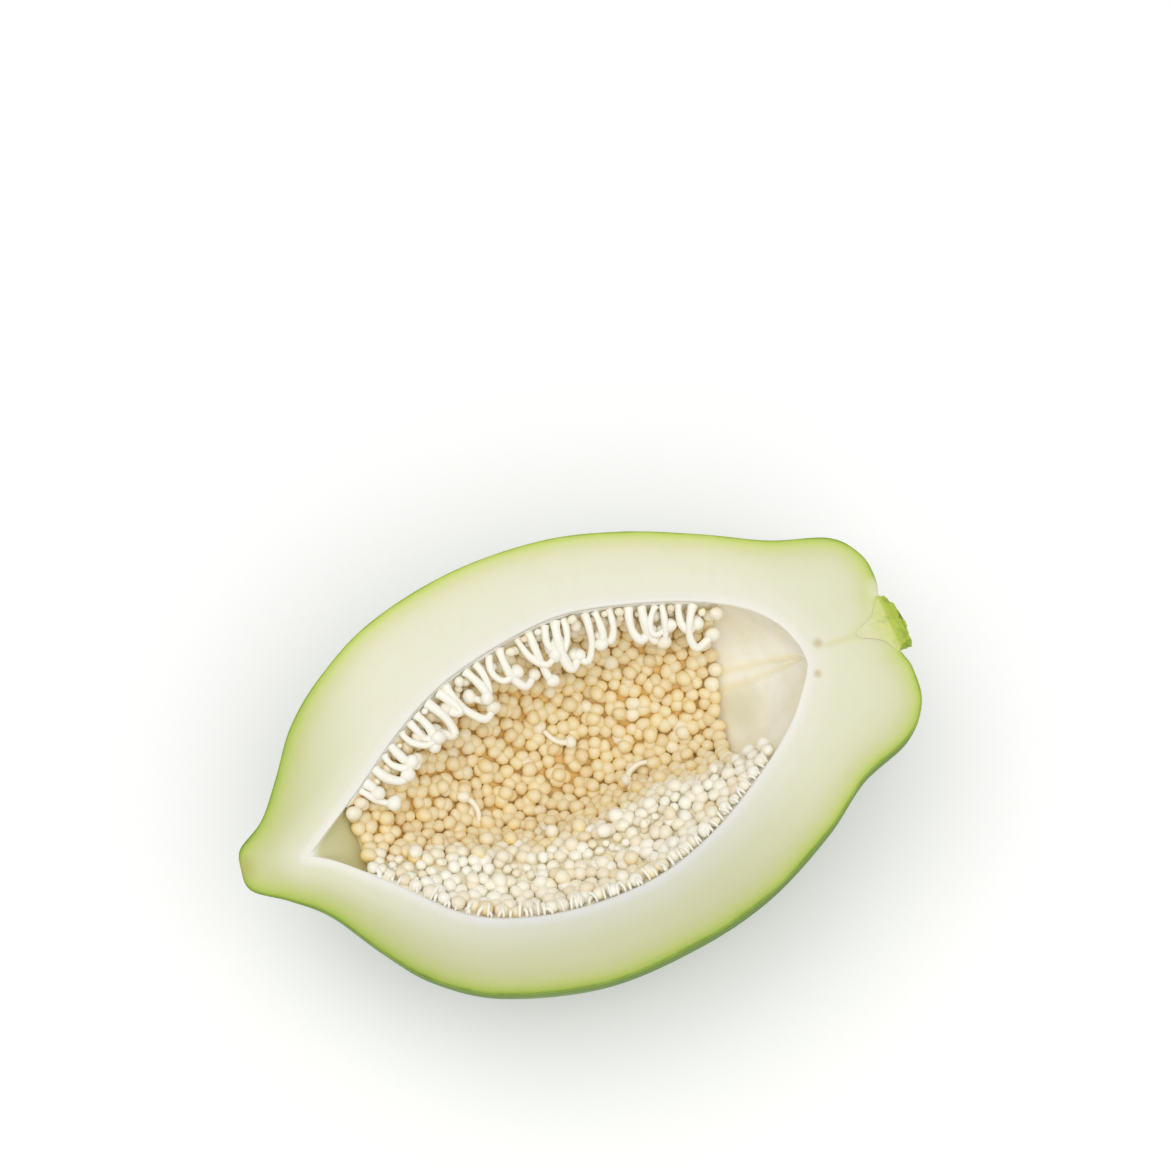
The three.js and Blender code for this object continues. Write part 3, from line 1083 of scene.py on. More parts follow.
@dataclass
class FruitBody:
    """Skin, flesh and hollow of the half, in one closed piece.

    Attributes:
        along: steps from the blossom tip to the stalk's seat.
        around: steps of the skin from the back to the front cut edge.
        inside: steps of the hollow's wall from rim to rim.
        stub: the stub that the seat holds.
        clearance: gap between the stub and its seat, in mm.
        seat_share: share of the skin's outline at which the seat opens.
        edge_mm: rounding of the cut's outer edge.
        rim_mm: rounding of the hollow's rim.
        across: shares of the way from the skin to the hollow at which the cut has points.
    """

    along: int = 264
    around: int = 96
    inside: int = 100
    stub: StalkStub = field(default_factory=StalkStub)
    clearance: float = 0.03
    seat_share: float = 0.93
    edge_mm: float = 0.5
    rim_mm: float = 0.75
    across: tuple[float, ...] = (
        0, 0.006, 0.014, 0.026, 0.042, 0.062, 0.088, 0.12, 0.16, 0.21, 0.27, 0.34, 0.42, 0.5,
        0.58, 0.66, 0.73, 0.79, 0.84, 0.88, 0.915, 0.945, 0.965, 0.98, 0.99, 1.0,
    )

    def outside(self, share: Array, turn: Array) -> Array:
        """Skin up to the seat, then the seat's own wall down to its point.

        Args:
            share: from 0 at the blossom tip to 1 at the seat's mouth and 2 at its point.
            turn: angle from the back cut edge to the front one.

        Returns:
            Points in mm.
        """
        share, turn = np.broadcast_arrays(share, turn)
        skin = SKIN.at(np.minimum(share, 1) * self.seat_share, turn)
        inward = np.clip(share - 1, 0, 1)
        line = self.stub.line(self.stub.mouth * (1 - inward))
        radius = line[..., 0] + self.clearance * smoothstep(1 - inward, 0, 0.05)
        reach = line[..., 1] - self.clearance
        down = radius * half_sine(turn)
        seat = np.stack([reach, self.stub.middle_y + radius * np.cos(turn), -down], axis=-1)
        mouth = smoothstep(share, 1.0, 1.06)[..., None]
        return skin * (1 - mouth) + seat * mouth

    def edges(self) -> tuple[Array, Array, Array, Array]:
        """Even steps of the outer edge and of the hollow's rim.

        Returns:
            Shares of the outside, shares of the wall, the loop round the outside and the loop
            round the hollow, each loop from the blossom tip along the back and home in front.
        """
        fine = np.linspace(0, 2, 4001)
        shares = 2 * along_edge(self.outside(fine, np.zeros_like(fine)), self.along)
        fine = np.linspace(0, 1, 3001)
        inner = along_edge(WALL.at(fine, np.zeros_like(fine)), self.along)
        outer_loop = np.concatenate(
            [self.outside(shares, 0.0), self.outside(shares[::-1], math.pi)]
        )
        inner_loop = np.concatenate([WALL.at(inner, 0.0), WALL.at(inner[::-1], math.pi)])
        return shares, inner, outer_loop, inner_loop

    def sculpt(self) -> Sculpt:
        """Draws the skin, the cut face and the hollow's wall.

        Returns:
            The closed shape with the numbers that its finishes read.
        """
        shares, inner, outer_loop, inner_loop = self.edges()
        rows = len(shares)
        on_skin = np.r_[shares <= 1, (shares <= 1)[::-1]]
        seat_line = outer_loop[np.r_[shares >= 1.05, np.zeros(rows, bool)]]
        turn = np.linspace(0, math.pi, self.around + 1)
        size = np.hypot(outer_loop[:, 1], outer_loop[:, 2])
        outer_drop = np.minimum(self.edge_mm, 0.55 * math.sin(turn[1]) * size) * on_skin
        inside_turn = np.linspace(0, math.pi, self.inside + 1)
        size = np.abs(inner_loop[:, 1] - WALL.axis_y[0])
        inner_drop = np.minimum(self.rim_mm, 0.5 * math.sin(inside_turn[1]) * size)
        grid_share, grid_turn = grid(shares, turn)
        skin = self.outside(grid_share, grid_turn)
        relief = 0.3 * ripple(skin, 26, 3) * smoothstep(-skin[..., 2], 2, 12)
        skin[..., 2] = np.maximum(skin[..., 2] + relief, -FOOT_DEPTH)
        skin[:, 0, 2] -= outer_drop[:rows]
        skin[:, -1, 2] -= outer_drop[rows:][::-1]
        far = np.full(skin.shape[:2], 30.0)
        rib = np.cos(SKIN.rib.count * (grid_turn - SKIN.rib.turn))
        marks = {"rind": np.minimum(-skin[..., 2], 60.0), "rib": rib, "lining": far}
        seat_marks = {"rind": far * 0 + 8.0, "lining": far, "stalk": far * 0}
        mouth = int(np.argmax(shares >= 1))
        patches = [
            Patch(skin[: mouth + 1], 0, {k: v[: mouth + 1] for k, v in marks.items()}),
            Patch(skin[mouth:], 1, {k: v[mouth:] for k, v in seat_marks.items()}),
            self.face(outer_loop, inner_loop, outer_drop, inner_drop, on_skin, seat_line),
            self.hollow(inner, inside_turn, inner_drop),
        ]
        return Sculpt.welded(patches)

    def face(
        self,
        outer: Array,
        inner: Array,
        outer_drop: Array,
        inner_drop: Array,
        on_skin: Array,
        seat_line: Array,
    ) -> Patch:
        """The knife's cut between the skin and the hollow.

        Args:
            outer: loop round the outside.
            inner: loop round the hollow.
            outer_drop: depth of the rounding at the outside.
            inner_drop: depth of the rounding at the hollow.
            on_skin: which points of the outer loop are on the skin.
            seat_line: edge of the stub's seat.

        Returns:
            The patch, one column for each point of the loops.
        """
        u = np.array(self.across)[:, None, None]
        points = outer[None] * (1 - u) + inner[None] * u
        rind = distance_to_line(points, outer[on_skin])
        lining = distance_to_line(points, inner)
        stalk = distance_to_line(points, seat_line)
        inside = (u > 0) & (u < 1)
        waves = 0.10 * ripple(points, 42, 5) + 0.035 * ripple(points, 9, 8) - 0.14
        fade = smoothstep(rind, 0.4, 3) * smoothstep(lining, 0.4, 3) * smoothstep(stalk, 0.2, 2)
        points[..., 2] += waves * fade * inside[..., 0]
        near_skin = np.clip(1 - rind / self.edge_mm, 0, 1)
        points[..., 2] -= outer_drop[None] * (1 - np.sqrt(1 - near_skin**2))
        near_rim = np.clip(1 - lining / self.rim_mm, 0, 1)
        points[..., 2] -= inner_drop[None] * (1 - np.sqrt(1 - near_rim**2))
        middle = np.interp(points[..., 0], [184, 201], [1.5, 0.8])
        across = np.abs(points[..., 1] - middle)
        vein = smoothstep(across, 1.5, 0.3) * smoothstep(points[..., 0], 189, 193)
        vein = vein * smoothstep(points[..., 0], 204, 201)
        right = smoothstep(points[..., 0], 130, 190)
        # front: share towards the front; the flesh takes a yellower tint and a painted shade by it
        front = smoothstep(-points[..., 1], 5, 60) * (1 - 0.5 * right)
        tip = smoothstep(points[..., 0], 62, 18)
        ends = np.maximum(tip, 0.35 * smoothstep(points[..., 0], 165, 205))
        side = np.maximum(smoothstep(-points[..., 1], -10, 45) * (1 - 0.6 * right), 1.05 * tip)
        side = np.maximum(side, 0.6 * smoothstep(points[..., 0], 170, 205))
        marks = {"rind": rind, "lining": lining, "stalk": stalk, "vein": vein}
        marks.update(side=side, front=front, ends=np.clip(ends, 0, 1))
        closed = {name: np.concatenate([v, v[:, :1]], axis=1) for name, v in marks.items()}
        return Patch(np.concatenate([points, points[:, :1]], axis=1), 1, closed)

    @staticmethod
    def threads(share: Array, angle: Array) -> Array:
        """Dry threads of the placenta on the ridge of the seedless end.

        Args:
            share: share of the hollow's outline.
            angle: angle from the back rim, in radians.

        Returns:
            A number from 0 to 1, highest on a thread.
        """
        total = np.zeros(np.shape(share))
        width = np.interp(share, [0.66, 0.97], [0.05, 0.07])
        for degrees, sway in ((60.5, 3.0), (66.0, -2.5), (73.5, 2.0)):
            middle = np.radians(degrees + sway * np.sin((share - 0.6) * 11))
            total = np.maximum(total, np.exp(-(((angle - middle) / width) ** 2)))
        return total * smoothstep(share, 0.64, 0.68) * smoothstep(share, 0.985, 0.93)

    @staticmethod
    def lumps(share: Array, angle: Array) -> Array:
        """Soft relief of the bare parts of the hollow's wall.

        Args:
            share: share of the hollow's outline.
            angle: angle from the back rim, in radians.

        Returns:
            Steps out of the wall, in mm.
        """
        points = WALL.at(share, angle)
        bare = smoothstep(share - seeded_to(angle), 0.0, 0.05)
        bare = np.maximum(bare, 0.5 * smoothstep(SEEDED_FROM - share, 0.0, 0.05))
        fade = smoothstep(-points[..., 2], 1.5, 5) * bare
        fade = fade * smoothstep(share, 0.02, 0.08) * smoothstep(1 - share, 0.0, 0.05)
        relief = (0.35 * ripple(points, 11, 12) + 0.12 * ripple(points, 4, 13)) * fade
        relief = relief + 0.5 * FruitBody.threads(share, angle) * bare
        return WALL.inward(np.clip(share, 0.002, 0.998), angle) * relief[..., None]

    def hollow(self, inner: Array, turn: Array, drop: Array) -> Patch:
        """The wall of the hollow.

        Args:
            inner: shares of the wall's outline, from tip to stalk end.
            turn: angles from the back rim to the front rim.
            drop: depth of the rounding at the rim, round the loop.

        Returns:
            The patch.
        """
        share, angle = grid(inner, turn)
        points = WALL.at(share, angle)
        rows = len(inner)
        points = points + self.lumps(share, angle)
        points[:, 0, 2] = -drop[:rows]
        points[:, -1, 2] = -drop[rows:][::-1]
        marks = {
            "lining": -points[..., 2],
            "blossom_end": smoothstep(points[..., 0], 60, 34),
            "thread": self.threads(share, angle),
            "rind": np.full(share.shape, 20.0),
        }
        return Patch(points, 2, marks)


@dataclass
class Seeds:
    """Places, directions and sizes of a set of seeds.

    Attributes:
        centres: middle of each seed, in mm.
        ups: direction out of the bed at each.
        degrees: angle round the hollow at each.
        radii: half length of each.
    """

    centres: Array
    ups: Array
    degrees: Array
    radii: Array

    def chosen(self, keep: Array) -> "Seeds":
        """The seeds that a mask or a list of indices picks."""
        return Seeds(self.centres[keep], self.ups[keep], self.degrees[keep], self.radii[keep])

    def joined(self, other: "Seeds") -> "Seeds":
        """These seeds and others in one set."""
        names = ("centres", "ups", "degrees", "radii")
        return Seeds(*[np.concatenate([getattr(self, n), getattr(other, n)]) for n in names])


@dataclass
class SeedBed:
    """The placenta on the hollow's wall and the seeds that stand on it.

    Attributes:
        at_rim: height of the bed at the rims, in mm.
        on_floor: height of the bed on the hollow's floor.
        front_mound: how much higher it is towards the front.
        along_mm: usual length of the seeded part along the fruit.
        radius_mm: usual radius of the hollow.
        outline_mm: length of the hollow's outline from tip to stalk end.
        covered: first and last angle that a seed may take, in degrees.
        seed_mm: half length of a seed.
        spacing_mm: distance between neighbouring seeds.
        second_mm: distance between the seeds of the thin second layer.
        split: angle at which the tan seeds give way to the white ones, in degrees.
        hanging: how many seeds hang from the back rim.
        hanging_along: shares of the hollow's outline between which they hang.
        hanging_at: angle of their stalks' roots, in degrees.
        hanging_mm: half length of a hanging seed.
        stalk_mm: usual radius of a hanging stalk.
        long_hook: usual reach and drop of every other hanging stalk, in mm.
        short_hook: usual reach and drop of those between.
        hook_steps: reach, curl and drop of the stalk's bends, as shares.
        filler_mm: half length of the smallest seed.
        along_rim: how many short stalks stand along the front rim.
        rim_at: angle of their roots, in degrees.
        rim_steps: reach, lean and height in mm of the short stalks' bends.
        loose: share of the outline, angle and direction of each loose stalk on the seeds.
    """

    at_rim: float = 1.6
    on_floor: float = 8.0
    front_mound: float = 5.0
    along_mm: float = 115.0
    radius_mm: float = 32.0
    outline_mm: float = 170.0
    covered: tuple[float, float] = (3.2, 177.0)
    seed_mm: float = 2.5
    spacing_mm: float = 4.08
    second_mm: float = 11.5
    split: float = 149.0
    hanging: int = 29
    hanging_along: tuple[float, float] = (0.15, 0.685)
    hanging_at: float = 6.0
    hanging_mm: float = 2.6
    stalk_mm: float = 1.2
    long_hook: tuple[float, float] = (12.0, 7.0)
    short_hook: tuple[float, float] = (8.4, 3.0)
    hook_steps: tuple[Triple, ...] = (
        (0, 0, 0), (0.34, -0.1, -0.02), (0.72, -0.06, 0.3), (1.0, 0.34, 0.6),
    )
    filler_mm: float = 1.15
    along_rim: int = 62
    rim_at: float = 177.0
    rim_steps: tuple[Triple, ...] = (
        (0.1, 0.0, -1.3), (0.4, 0.1, -0.6), (0.75, 0.5, -0.55), (1.0, 1.0, -1.2),
    )
    loose: tuple[Triple, ...] = (
        (0.445, 66.0, 40.0), (0.385, 122.0, 80.0), (0.545, 98.0, 160.0), (0.3, 84.0, 250.0),
    )

    def height(self, t: Array | float, turn: Array | float) -> Array:
        """Height of the bed above the wall.

        Args:
            t: share of the hollow's outline.
            turn: angle from the back rim, in radians.

        Returns:
            The height, in mm.
        """
        t, turn = np.asarray(t, float), np.asarray(turn, float)
        sides = smoothstep(turn, 0, 1.1) * smoothstep(math.pi - turn, 0, 0.7)
        ends = smoothstep(t - SEEDED_FROM, 0, 0.14) * smoothstep(seeded_to(turn) - t, 0, 0.13)
        floor = self.on_floor + self.front_mound * smoothstep(turn, 1.6, 2.4) - self.at_rim
        return self.at_rim + floor * sides * (0.12 + 0.88 * ends)

    def top(self, t: Array | float, turn: Array | float, lift: Array | float = 0.0) -> Array:
        """Surface of the bed, raised by lift, in mm."""
        high = (self.height(t, turn) + lift)[..., None]
        return WALL.at(t, turn) + WALL.inward(t, turn) * high

    def slopes(self, t: Array, turn: Array) -> tuple[Array, Array]:
        """How the bed's surface moves with its two measures.

        Args:
            t: share of the hollow's outline.
            turn: angle from the back rim, in radians.

        Returns:
            The move along the fruit and the one round it, in mm for a whole measure.
        """
        step = 1e-3
        along = (self.top(t + step, turn) - self.top(t - step, turn)) / (2 * step)
        around = (self.top(t, turn + step) - self.top(t, turn - step)) / (2 * step)
        return along, around

    def bed(
        self,
        angles: tuple[float, float],
        tone: float,
        most: float = 20.0,
        thin: tuple[bool, bool] = (True, True),
    ) -> Sculpt:
        """A closed lumpy slab between the wall and the seeds, thin at its free edges.

        Args:
            angles: first and last angle, in degrees.
            tone: 0 for golden and 1 for white.
            most: greatest thickness, in mm.
            thin: whether it thins out at the first and at the last angle.

        Returns:
            The slab.
        """
        rows, columns, gap = 96, 56, 0.12
        share, turn = grid(np.linspace(0, 1, rows), np.radians(np.linspace(*angles, columns)))
        start, end = SEEDED_FROM + 0.008, seeded_to(turn) - 0.016
        t = start + (end - start) * share
        wall, inward = WALL.at(t, turn), WALL.inward(t, turn)
        lower = wall + inward * gap
        edge, thick = np.minimum(share, 1 - share) * self.along_mm, 9
        first = (turn - turn[:, :1]) * self.radius_mm + (0 if thin[0] else thick)
        last = (turn[:, -1:] - turn) * self.radius_mm + (0 if thin[1] else thick)
        taper = smoothstep(np.minimum(edge, np.minimum(first, last)), -0.4, 3.0)
        high = np.minimum(self.height(t, turn), most)
        lumps = 0.5 * ripple(lower, 6, 21) + 0.25 * ripple(lower, 3, 22) - 0.5
        high = np.maximum(high * taper + lumps * taper, 0.25)
        upper = wall + inward * high[..., None]
        upper[..., 2] = np.minimum(upper[..., 2], -0.5)
        lower[..., 2] = np.minimum(lower[..., 2], -0.45)
        degrees = np.degrees(turn)
        rims = smoothstep(np.minimum(degrees, 180 - degrees), 20, 7) * 0.6
        paler = smoothstep(degrees, 118, 146) * 0.9
        tones = np.clip(tone + smoothstep(taper, 0.6, 0.1) * 0.8 + rims + paler, 0, 1)
        # the bed sits low in painted light height, higher near the rims
        marks = {"cap": 0.25 + 0.5 * rims, "tone": tones, "chance": 0.5 + 0 * tones}
        around = (slice(0, 1), slice(None)), (slice(1, None), slice(-1, None))
        back = (slice(-1, None), slice(-2, None, -1)), (slice(-2, None, -1), slice(0, 1))

        def loop(values: Array) -> Array:
            """Values on the slab's four edges, one after another."""
            tail = values.shape[2:]
            return np.concatenate([values[cut].reshape(-1, *tail) for cut in around + back])

        rim_marks = {name: np.stack([loop(v), loop(v)]) for name, v in marks.items()}
        flipped = {name: v[:, ::-1] for name, v in marks.items()}
        rim = Patch(np.stack([loop(upper), loop(lower)]), 0, rim_marks)
        return Sculpt.welded([Patch(upper, 0, marks), Patch(lower[:, ::-1], 0, flipped), rim])

    def scattered(self, spread: float, low: float, high: float) -> tuple[Array, Array]:
        """Scatters places over the bed, as densely on its slopes as on its flat parts.

        Args:
            spread: distance between neighbours, in mm.
            low: first angle, in radians.
            high: last angle.

        Returns:
            Share of the hollow's outline and angle of each place.
        """
        cells = 60
        share, turn = grid(np.linspace(0, 1, cells), np.linspace(low, high, cells))
        long = seeded_to(turn) - SEEDED_FROM
        along, around = self.slopes(SEEDED_FROM + long * share, turn)
        cell = length(np.cross(along, around)) * long
        count = int(cell.mean() * (high - low) / (0.866 * spread**2))
        even = (0.5 + np.arange(count * 6)[:, None] * EVEN_STEPS) % 1
        row, column = (even[:, :2] * (cells - 1)).astype(int).T
        kept = np.flatnonzero(even[:, 2] < cell[row, column] / cell.max())[:count]
        turn = low + (high - low) * even[kept, 1]
        return SEEDED_FROM + (seeded_to(turn) - SEEDED_FROM) * even[kept, 0], turn

    def settle(self, spread: float, lift: float, inset: float, seed: int) -> Seeds:
        """Spreads seeds over the bed until they lie evenly.

        Args:
            spread: distance between neighbours, in mm.
            lift: height of their middles above the bed.
            inset: distance that they keep from the ends of the bed.
            seed: starts the random numbers.

        Returns:
            The seeds, still without their sizes' final fit.
        """
        rng = np.random.default_rng(seed)
        low, high = (math.radians(angle) for angle in self.covered)
        t, turn = self.scattered(spread, low, high)
        count, rounds = len(t), 90
        raised = lift + rng.normal(size=count) * 0.22
        reach = spread * 1.2
        near = inset / self.outline_mm + np.abs(rng.normal(size=count)) * 0.011
        low = low + np.abs(rng.normal(size=count)) * 0.05
        high = high - np.abs(rng.normal(size=count)) * 0.05
        for _ in range(rounds):
            places = self.top(t, turn, raised)
            gaps = places[:, None] - places[None]
            far = length(gaps) + np.eye(count) * 1e3
            pull = np.clip(1 - far / reach, 0, 1)
            push = (gaps / far[..., None] * pull[..., None]).sum(1) * spread * 0.55
            along, around = self.slopes(t, turn)
            step = (push * along).sum(-1) / (along**2).sum(-1)
            t = t + np.clip(step, -0.02, 0.02)
            turn = turn + np.clip((push * around).sum(-1) / (around**2).sum(-1), -0.1, 0.1)
            turn = np.clip(turn, low, high)
            t = np.clip(t, SEEDED_FROM + near, seeded_to(turn) - near)
        along, around = self.slopes(t, turn)
        ups = unit(np.cross(around, along))
        clear = raised + 0.6 * smoothstep(np.degrees(turn), 11, 6)
        centres = self.top(t, turn, clear)
        centres[:, 2] = np.minimum(centres[:, 2], -self.seed_mm * 0.8)
        radii = self.seed_mm * rng.uniform(0.9, 1.08, size=count)
        radii = np.minimum(radii, 0.95 * (self.height(t, turn) + clear) - 0.05)
        return Seeds(centres, ups, np.degrees(turn), radii)

    def all_seeds(self) -> Seeds:
        """Settles the seeds of the bed, clear of the hanging stalks.

        Returns:
            A full layer of seeds, with a thin second one over it.
        """
        seeds = self.settle(self.spacing_mm, 0.7, 0.4, 11)
        more = self.settle(self.second_mm, 3.0, 7.0, 12)
        more = more.chosen((more.degrees > 26) & (more.centres[:, 2] < -3.4))
        seeds = seeds.joined(more)
        room = self.beside_hooks(seeds.centres)
        seeds.radii = np.minimum(seeds.radii, room)
        return seeds.chosen(room > self.seed_mm * 0.5)

    def beside_hooks(self, centres: Array, every: int = 1) -> Array:
        """Room that the hanging stalks and their seeds leave.

        Args:
            centres: places of seeds, in mm.
            every: 1 to measure to each point of a stalk, 2 to every other one.

        Returns:
            Largest half length of a seed at each place.
        """
        room = np.full(centres.shape[:-1], np.inf)
        for path, radius in self.hooks():
            stem = length(centres[..., None, :] - path[::every]).min(-1) - radius * 1.1
            end = length(centres - path[-1]) - self.hanging_mm
            room = np.minimum(room, np.minimum(stem, end))
        return room

    def filled(self, seeds: Seeds) -> Seeds:
        """Adds small seeds wherever a gap between the others is wide enough.

        Args:
            seeds: the seeds that are there already.

        Returns:
            Those seeds and the small ones.
        """
        rows, columns = np.linspace(0.005, 0.99, 150), np.linspace(3.4, 176.6, 120)
        share, turn = grid(rows, np.radians(columns))
        t = SEEDED_FROM + (seeded_to(turn) - SEEDED_FROM) * share
        lift = 0.3 + 0.4 * smoothstep(np.degrees(turn), 12, 30)
        centres = self.top(t, turn, lift)
        room = np.minimum(-centres[..., 2] - 0.5, 0.92 * (self.height(t, turn) + lift) - 0.1)
        room = np.minimum(room, self.beside_hooks(centres, 2))
        for row, line in enumerate(centres):
            gaps = length(line[:, None] - seeds.centres)
            room[row] = np.minimum(room[row], (gaps - 0.9 * seeds.radii).min(1))
        centres, room = centres.reshape(-1, 3), np.minimum(room.ravel(), self.seed_mm * 0.85)
        kept, radii = [], []
        while room.max() > self.filler_mm:
            best = int(room.argmax())
            kept.append(best)
            radii.append(room[best])
            gap = length(centres - centres[best])
            room = np.minimum(room, gap - 0.9 * room[best])
        ups = WALL.inward(t, turn).reshape(-1, 3)[kept]
        small = Seeds(centres[kept], ups, np.degrees(turn).ravel()[kept], np.array(radii))
        return seeds.joined(small)

    def parted(self) -> tuple[Seeds, Seeds]:
        """Parts the seeds in two sets that don't cross.

        Returns:
            Tan seeds and white seeds, shrunk where one set meets the other.
        """
        seeds = self.all_seeds()
        for _ in range(2):
            is_tan = seeds.degrees < self.split
            tan, white = seeds.chosen(is_tan), seeds.chosen(~is_tan)
            half = length(tan.centres[:, None] - white.centres[None]) * 0.52
            tan.radii = np.minimum(tan.radii, half.min(1))
            white.radii = np.minimum(white.radii, half.min(0))
            seeds = self.filled(tan.joined(white))
        return tan, white

    def hooks(self) -> list[tuple[Array, float]]:
        """Stalks that hang from the back rim.

        Returns:
            The path of each from its root to the middle of its seed, and its radius.
        """
        draw = Draw(7)
        rng = np.random.default_rng(5)
        (low, high), turn = self.hanging_along, math.radians(self.hanging_at)
        stalks = []
        for n in range(self.hanging):
            t = low + (high - low) * (n + 0.5 + rng.uniform(-0.36, 0.36)) / self.hanging
            inward = WALL.inward(t, turn)
            size = float(np.clip((WALL.at(t, 0.0)[1] - WALL.axis_y[0]) / 28, 0.55, 1))
            vary = rng.uniform(0.7, 1.12)
            reach, drop = self.short_hook if n % 2 else self.long_hook
            reach = (reach + draw() * 1.4) * size * vary
            drop = (drop + draw() * 1.2) * size * vary
            lean = np.array([(draw() - 0.5) * 4.5 * size, 0, 0])
            root = WALL.at(t, turn) + inward * 0.55
            root[2] = min(root[2], -1.9)
            side = -1.0 if rng.uniform() < 0.34 else 1.0
            curl = rng.uniform(3.2, 7.6) * side * size
            if n % 5 == 1:
                curl *= 0.2
            across = np.array([1.0, 0, 0]) + inward * 0.12
            end = (0.74 if abs(curl) > 3 else 1.12, 1.0, 0.66)
            corners = [
                root + inward * reach * a + across * curl * b + lean * a
                - np.array([0, 0, drop * c])
                for a, b, c in (*self.hook_steps, end)
            ]
            path = self.smooth_path(corners, 22)
            stalks.append((path, self.stalk_mm * rng.uniform(0.86, 1.3)))
        return stalks

    @staticmethod
    def smooth_path(corners: Sequence[Array], steps: int) -> Array:
        """Smooth path through corners, with its ends on the first and last."""
        return smooth_curve(corners, np.linspace(0, 1, steps))

    @staticmethod
    def tube(path: Array, radii: Array, tone: float, chance: float, sides: int = 12) -> Sculpt:
        """A round stalk along a path.

        Args:
            path: points along its middle.
            radii: its radius at each of them.
            tone: 0 for golden and 1 for white.
            chance: the stalk's own random number.
            sides: corners of its section.

        Returns:
            The stalk, with closed ends.
        """
        way = unit(np.gradient(path, axis=0))
        side = unit(np.cross(way, np.array([0.13, 0.21, 1.0])))
        other = np.cross(way, side)
        angle = np.linspace(0, 2 * math.pi, sides + 1)
        ring = side[:, None] * np.cos(angle)[None, :, None]
        ring = ring + other[:, None] * np.sin(angle)[None, :, None]
        body = path[:, None] + ring * radii[:, None, None]
        body[:, -1] = body[:, 0]
        first, last = (np.repeat(end[None, None], sides + 1, 1) for end in (path[0], path[-1]))
        body = np.concatenate([first, body, last])
        # the stalks take one painted light height, near the seeds' pale tops
        values = {"cap": 0.8, "tone": tone, "chance": chance}
        marks = {name: np.full(body.shape[:2], value) for name, value in values.items()}
        return Sculpt.welded([Patch(body, 0, marks)])

    @classmethod
    def eggs(cls, seeds: Seeds, tones: Array, rng: np.random.Generator) -> Sculpt:
        """All the seeds, the small ones with fewer faces.

        Args:
            seeds: where they are and how large.
            tones: 0 for golden and 1 for white.
            rng: seeded random numbers.

        Returns:
            All the seeds in one shape.
        """
        small = seeds.radii < 1.9
        return Sculpt.gathered([
            cls.balls(seeds.chosen(keep), tones[keep], rng, rings, sides)
            for keep, rings, sides in ((~small, 9, 14), (small, 7, 11))
            if keep.any()
        ])

    @staticmethod
    def balls(
        seeds: Seeds, tones: Array, rng: np.random.Generator, rings: int, sides: int
    ) -> Sculpt:
        """Egg-shaped seeds, each turned its own way.

        Args:
            seeds: where they are and how large.
            tones: 0 for golden and 1 for white.
            rng: seeded random numbers.
            rings: rows of faces of each.
            sides: faces in a row.

        Returns:
            The seeds in one shape.
        """
        polar = np.linspace(0, math.pi, rings + 1)[1:-1]
        angle = np.linspace(0, 2 * math.pi, sides + 1)[:-1]
        body = [
            [math.cos(p), math.sin(p) * math.cos(a), math.sin(p) * math.sin(a)]
            for p in polar
            for a in angle
        ]
        ball = np.array([[1, 0, 0], *body, [-1, 0, 0]], float)
        ball[:, 1:] *= 1 - 0.14 * ball[:, :1]
        faces = [[0, 1 + k, 1 + (k + 1) % sides] for k in range(sides)]
        for row in range(rings - 2):
            for k in range(sides):
                a, b = 1 + row * sides + k, 1 + row * sides + (k + 1) % sides
                faces.append([a, a + sides, b + sides, b])
        last, base = len(ball) - 1, 1 + (rings - 2) * sides
        faces += [[last, base + (k + 1) % sides, base + k] for k in range(sides)]
        count = len(seeds.radii)
        slim = rng.uniform(0.84, 0.95, size=(count, 1))
        sizes = seeds.radii[:, None] * np.concatenate([slim * 0 + 1, slim, slim * 0.96], axis=1)
        tilt = rng.normal(size=(count, 3)) * 0.6
        flat = np.cross(seeds.ups, unit(rng.normal(size=(count, 3))))
        long = unit(unit(flat) + seeds.ups * tilt[:, :1])
        side = unit(np.cross(seeds.ups + 0.2 * tilt, long))
        axes = np.stack([long, side, np.cross(long, side)], axis=1) * sizes[:, :, None]
        shape = np.einsum("vk,nkd->nvd", ball, axes)
        # painted light: each point's height towards a light above, for the seeds' colour
        painted_light_way = unit(seeds.ups + np.array([0.0, 0.0, 0.9]))
        cap = np.einsum("nvd,nd->nv", shape, painted_light_way) / sizes.mean(1)[:, None] * 0.5 + 0.5
        offsets = (np.arange(count) * len(ball)).tolist()
        all_faces = [[c + o for c in face] for o in offsets for face in faces]
        marks = {
            "cap": np.clip(cap, 0, 1).ravel(),
            "tone": np.repeat(tones, len(ball)),
            "chance": np.repeat(rng.uniform(size=count), len(ball)),
        }
        points = (shape + seeds.centres[:, None]).reshape(-1, 3)
        return Sculpt(points, all_faces, [0] * len(all_faces), marks)

    def deep(self, seeds: Seeds) -> Sculpt:
        """Draws the tan seeds on the wall and floor of the hollow.

        Args:
            seeds: where they are.

        Returns:
            The seeds, their bed and a few loose stalks, in one shape.
        """
        rng = np.random.default_rng(17)
        noise = rng.normal(size=len(seeds.radii))
        pale = smoothstep(seeds.degrees + noise * 9, 118, 147) * 0.92
        pale = pale + smoothstep(seeds.degrees, 27, 9) * 0.65
        pale = np.clip(pale + (rng.uniform(size=len(noise)) > 0.95) * 0.45, 0, 1)
        slab = self.bed((6.8, self.split), 0.0, thin=(True, False))
        shapes = [slab, self.eggs(seeds, pale, rng)]
        for t, degrees, turned in self.loose:
            shapes += self.fallen(t, math.radians(degrees), math.radians(turned), rng)
        return Sculpt.gathered(shapes)

